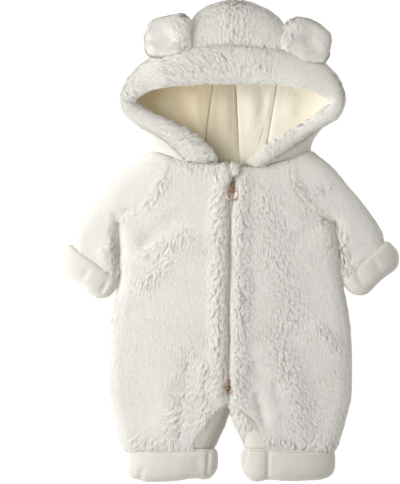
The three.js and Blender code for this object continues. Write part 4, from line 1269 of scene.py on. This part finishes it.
def length_frames(line: Array, pitch: float) -> list[tuple[Vector, Vector]]:
    """Evenly spaced points along a plan line.

    Args:
        line: the line's corners as rows of x and y, in metres.
        pitch: the distance between points.

    Returns:
        Each point with the line's way there.
    """
    steps = np.linalg.norm(np.diff(line, axis=0), axis=1)
    reach = np.concatenate([[0], np.cumsum(steps)])
    frames = []
    for at in np.arange(pitch / 2, reach[-1], pitch):
        k = int(np.clip(np.searchsorted(reach, at) - 1, 0, len(steps) - 1))
        way = (line[k + 1] - line[k]) / steps[k]
        frames.append((Vector((*(line[k] + way * (at - reach[k])), 0)), Vector((*way, 0))))
    return frames


# The steepest rise that a stitch follows, and a height above all of the suit.
STEEPEST = 1.0
ABOVE_ALL = 0.2


@dataclass(frozen=True)
class StitchRow:
    """A row of stitches along plan points in millimetres, laid on the upper side of some cloth."""

    name: str
    line: tuple[tuple[float, float], ...]
    on: tuple[str, ...]
    slot: str
    finish: ClothFinish = THREAD
    pitch: float = 3.2
    long: float = 2.3
    half: float = 0.4

    def build(self) -> None:
        """Lays the stitches."""
        cloths = [self.tree(name) for name in self.on]
        stitch = primitive("stitch", bpy.ops.mesh.primitive_cylinder_add, vertices=8, radius=self.half * MM,
                           depth=self.long * MM, rotation=(math.pi / 2, 0, 0))
        finish_with(stitch, "BEVEL", width=0.5 * self.half * MM, segments=2, limit_method="ANGLE")
        places = []
        for spot, way in length_frames(np.array(self.line) * MM, self.pitch * MM):
            height = self.height(cloths, spot)
            if height is None:
                continue
            ahead = self.height(cloths, spot + way * MM)
            rise = 0.0 if ahead is None else float(np.clip((ahead - height) / MM, -STEEPEST, STEEPEST))
            turn = (way + Vector((0, 0, rise))).to_track_quat("Y", "Z").to_matrix().to_4x4()
            places.append(Matrix.Translation((spot.x, spot.y, height)) @ turn)
        seat(repeated(stitch, self.name, places), self.finish.material())

    @staticmethod
    def tree(name: str) -> BVHTree:
        """A piece's mesh, ready for rays.

        Args:
            name: the piece's name.

        Returns:
            A tree of its faces.
        """
        mesh = bpy.data.objects[name].data
        corners = [corner.co for corner in mesh.vertices]
        return BVHTree.FromPolygons(corners, [tuple(face.vertices) for face in mesh.polygons])

    @staticmethod
    def height(cloths: list[BVHTree], spot: Vector) -> float | None:
        """The highest cloth at a plan point.

        Args:
            cloths: trees of the cloths.
            spot: the plan point.

        Returns:
            Its height in metres, or None where there is no cloth.
        """
        start, down = Vector((spot.x, spot.y, ABOVE_ALL)), Vector((0, 0, -1))
        found = [tree.ray_cast(start, down)[0] for tree in cloths]
        return max((hit.z for hit in found if hit is not None), default=None)


LININGS = tuple(node + "_cloth" for node, _ in Lining.panels)
CROTCH_CLOTH = ("gusset_left_cloth", "gusset_right_cloth", "front_left_cloth", "front_right_cloth")
LINING_SEAMS = (
    ((-21, 252), (-27, 222), (-33, 175), (-36, 136)),
    ((13, 252), (14, 215), (17, 170), (19, 124)),
    ((78, 250), (71, 206), (63, 158), (61, 146)),
)


# Seams on the cuffs and hems at their edges, each with the cloth that it lies on.
CUFF_SEAMS = {
    "leg_cuff_seam_left": ("leg_cuff_left_cloth", ((-29, -322), (-32, -366))),
    "leg_cuff_seam_right": ("leg_cuff_right_cloth", ((63, -322), (62, -366))),
    "leg_cuff_curve_right": ("leg_cuff_right_cloth", ((31, -322), (27, -336), (24, -350))),
    "sleeve_cuff_seam_left": ("sleeve_cuff_left_cloth", ((-186, -60), (-198, -82))),
    "sleeve_cuff_seam_right": ("sleeve_cuff_right_cloth", ((196, -44), (210, -70))),
}
HEMS = {
    "leg_hem_left": ("leg_cuff_left_cloth", ((-156, -324), (-90, -325), (-24, -323))),
    "leg_hem_right": ("leg_cuff_right_cloth", ((34, -323), (96, -325), (162, -324))),
}
CROTCH_CROSS = {
    "crotch_cross_down": ((2.5, -246), (7.5, -253)),
    "crotch_cross_up": ((2.5, -253), (7.5, -246)),
}


def stitch_rows() -> list[StitchRow]:
    """The threads that show.

    Returns:
        The rows on the lining, the cuffs, the hems and the crotch.
    """
    seam = {"slot": "lining", "finish": BROWN_THREAD, "pitch": 3.0, "long": 2.4, "half": 0.45}
    cuff = {"slot": "cuff", "finish": THREAD, "pitch": 2.8, "long": 2.0, "half": 0.35}
    hem = {"slot": "cuff", "finish": BROWN_THREAD, "pitch": 5.5, "long": 3.4, "half": 0.4}
    cross = {"slot": "gusset", "finish": BROWN_THREAD, "pitch": 8, "long": 6.5, "half": 0.5}
    rows = [StitchRow(f"lining_seam_{k}", line, LININGS, **seam) for k, line in enumerate(LINING_SEAMS)]
    rows += [StitchRow(name, line, (cloth,), **cuff) for name, (cloth, line) in CUFF_SEAMS.items()]
    rows += [StitchRow(name, line, (cloth,), **hem) for name, (cloth, line) in HEMS.items()]
    rows += [StitchRow(name, line, CROTCH_CLOTH, **cross) for name, line in CROTCH_CROSS.items()]
    return rows


@dataclass(frozen=True)
class Pull:
    """A slider's ring pull: its hinge's plan point, its radius and its wire, in millimetres."""

    which: str
    hinge: tuple[float, float]
    radius: float
    wire: float


@dataclass
class Zip:
    """The zip's tapes, its coil of teeth, its two sliders and their pull rings.

    Its lengths are in metres, its tilt is in radians, and its pulls' sizes are in millimetres.
    """

    top: float = 0.110
    end: float = -0.224
    pitch: float = 0.0017
    tooth: tuple[float, float, float] = (0.0014, 0.00115, 0.0011)
    tooth_level: float = 0.0340
    coil_x: float = 0.0015
    half_gap: float = 0.0006
    tape_edge: float = 0.0003
    edge: float = 0.0004
    hinge_level: float = 0.0409
    tilt: float = 0.18
    ring_steps: tuple[int, int] = (56, 14)
    pulls: tuple[Pull, ...] = (
        Pull("upper", (7.4, 81.5), 8.5, 1.1),
        Pull("lower", (1.0, -226.0), 4.8, 0.9),
    )

    def build(self) -> None:
        """Builds all of the zip's pieces."""
        for side in ("left", "right"):
            self.trimmed(f"zip_tape_{side}", f"zip_tape_{side}_woven", "zip_tape", TAPE, self.tape_edge, 2)
        self.trimmed("zip_chain", "zip_core", "zip_chain", TAPE, self.edge, 2)
        for sign, name in ((-1, "zip_teeth_left"), (1, "zip_teeth_right")):
            self.teeth(sign, name)
        for pull in self.pulls:
            node = f"slider_{pull.which}"
            smooth_faces(self.trimmed(node, f"{node}_metal", "zip_metal", COPPER, self.edge, 3))
        for pull in self.pulls:
            self.ring(pull)

    @staticmethod
    def trimmed(node: str, name: str, slot: str, finish: ClothFinish | MetalFinish, edge: float,
                steps: int) -> Piece:
        """A CAD node's own form with its edges rounded, in place of the node.

        Args:
            node: the CAD node's name.
            name: the new piece's name.
            slot: its material slot; not used.
            finish: its cloth or metal.
            edge: the width of the rounded edges.
            steps: how many faces round each edge.

        Returns:
            The piece.
        """
        piece = copied(node, name)
        finish_with(piece, "BEVEL", width=edge, segments=steps, limit_method="ANGLE")
        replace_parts(seat(piece, finish.material()), node)
        return piece

    def teeth(self, sign: int, name: str) -> None:
        """One side's teeth, in a row along the zip.

        Args:
            sign: -1 for the left side and 1 for the right.
            name: the piece's name.
        """
        tooth = primitive("tooth", bpy.ops.mesh.primitive_cube_add, size=1, scale=self.tooth)
        finish_with(tooth, "BEVEL", width=self.edge, segments=2)
        start = self.end + (self.pitch / 2 if sign > 0 else 0)
        heights = np.arange(start, self.top, self.pitch)
        lines = zip_x(heights) + self.coil_x + sign * self.half_gap
        places = [Matrix.Translation((x, y, self.tooth_level)) for x, y in zip(lines, heights)]
        seat(repeated(tooth, name, places), COIL.material())

    def ring(self, pull: Pull) -> None:
        """A ring pull that hangs down the zip, tilted a little up.

        Args:
            pull: the ring's sizes and place.
        """
        node = f"ring_{pull.which}"
        reach = pull.radius * MM
        x, y = (at * MM for at in pull.hinge)
        middle = (x, y - reach * math.cos(self.tilt), self.hinge_level + reach * math.sin(self.tilt))
        around, across = self.ring_steps
        ring = primitive(f"{node}_metal", bpy.ops.mesh.primitive_torus_add, major_radius=reach,
                         minor_radius=pull.wire * MM, major_segments=around, minor_segments=across,
                         location=middle, rotation=(-self.tilt, 0, 0))
        smooth_faces(ring)
        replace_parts(seat(ring, ROSE_GOLD.material(), f"{pull.which}_pull"), node)


# Studio
@dataclass(frozen=True)
class Light:
    """A square soft light that faces the suit: its place and size in metres, its power in watts."""

    name: str
    place: tuple[float, float, float]
    size: float
    power: float


@dataclass
class Studio:
    """The floor, the lights and the camera above the suit.

    Its lengths are in metres, apart from the camera's sensor in millimetres. The picture's size and the
    origin's place in it are in pixels, and a pixel is the length of suit that one shows.
    """

    lights: tuple[Light, ...] = (
        Light("key", (-0.95, 0.05, 0.8), 1.0, 13.5),
        Light("top", (-1.1, 0.3, 1.8), 1.8, 8.5),
    )
    room_light: float = 0.38
    floor_size: float = 16.0
    floor_gap: float = 0.0004
    floor_glow: float = 0.6
    pixel: float = 0.00155
    picture: tuple[int, int] = (400, 484)
    origin_pixel: tuple[float, float] = (227.5, 242.25)
    level: float = 0.035
    distance: float = 6.0
    sensor: float = 36.0

    def build(self) -> None:
        """Sets the floor, the light and the camera."""
        self.floor()
        for light in self.lights:
            self.hang(light)
        world = bpy.data.worlds.new("soft_room")
        world.use_nodes = True
        world.node_tree.nodes["Background"].inputs["Color"].default_value = (1, 1, 1, 1)
        world.node_tree.nodes["Background"].inputs["Strength"].default_value = self.room_light
        bpy.context.scene.world = world
        bpy.context.scene.view_settings.view_transform = "Standard"
        self.camera()

    def floor(self) -> None:
        """A wide pale floor just under the suit."""
        deselect()
        bpy.ops.mesh.primitive_plane_add(size=self.floor_size, location=(0, 0, -self.floor_gap))
        floor = bpy.context.object
        floor.name = "floor"
        paper, shader = blank_material("floor_paper")
        shader.inputs["Base Color"].default_value = (0.96, 0.96, 0.955, 1)
        shader.inputs["Roughness"].default_value = 1.0
        shader.inputs["Specular IOR Level"].default_value = 0.0
        shader.inputs["Emission Color"].default_value = (1, 1, 1, 1)
        shader.inputs["Emission Strength"].default_value = self.floor_glow
        floor.data.materials.append(paper)

    @staticmethod
    def hang(light: Light) -> None:
        """Adds one light.

        Args:
            light: its place, size and power.
        """
        lamp = bpy.data.lights.new(light.name, "AREA")
        lamp.size = light.size
        lamp.energy = light.power
        holder = bpy.data.objects.new(light.name, lamp)
        holder.location = light.place
        holder.rotation_euler = (-Vector(light.place)).to_track_quat("-Z", "Y").to_euler()
        bpy.context.scene.collection.objects.link(holder)

    def camera(self) -> None:
        """A long lens straight above, framed as the photo."""
        width, height = self.picture
        across = (width / 2 - self.origin_pixel[0]) * self.pixel
        along = (self.origin_pixel[1] - height / 2) * self.pixel
        data = bpy.data.cameras.new("camera")
        data.sensor_width = self.sensor
        data.lens = self.sensor * self.distance / (height * self.pixel)
        data.clip_end = 100
        camera = bpy.data.objects.new("camera", data)
        camera.location = (across, along, self.level + self.distance)
        bpy.context.scene.collection.objects.link(camera)
        bpy.context.scene.camera = camera


def main() -> None:
    """Builds the studio and the suit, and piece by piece."""
    logging.basicConfig(level=logging.INFO, format="%(name)s %(message)s")
    Studio().build()
    for panel in body_panels() + sleeve_panels() + hood_panels() + cuff_panels():
        panel.build()
    Lining().build()
    for row in stitch_rows():
        row.build()
    Zip().build()


if __name__ == "__main__":
    main()
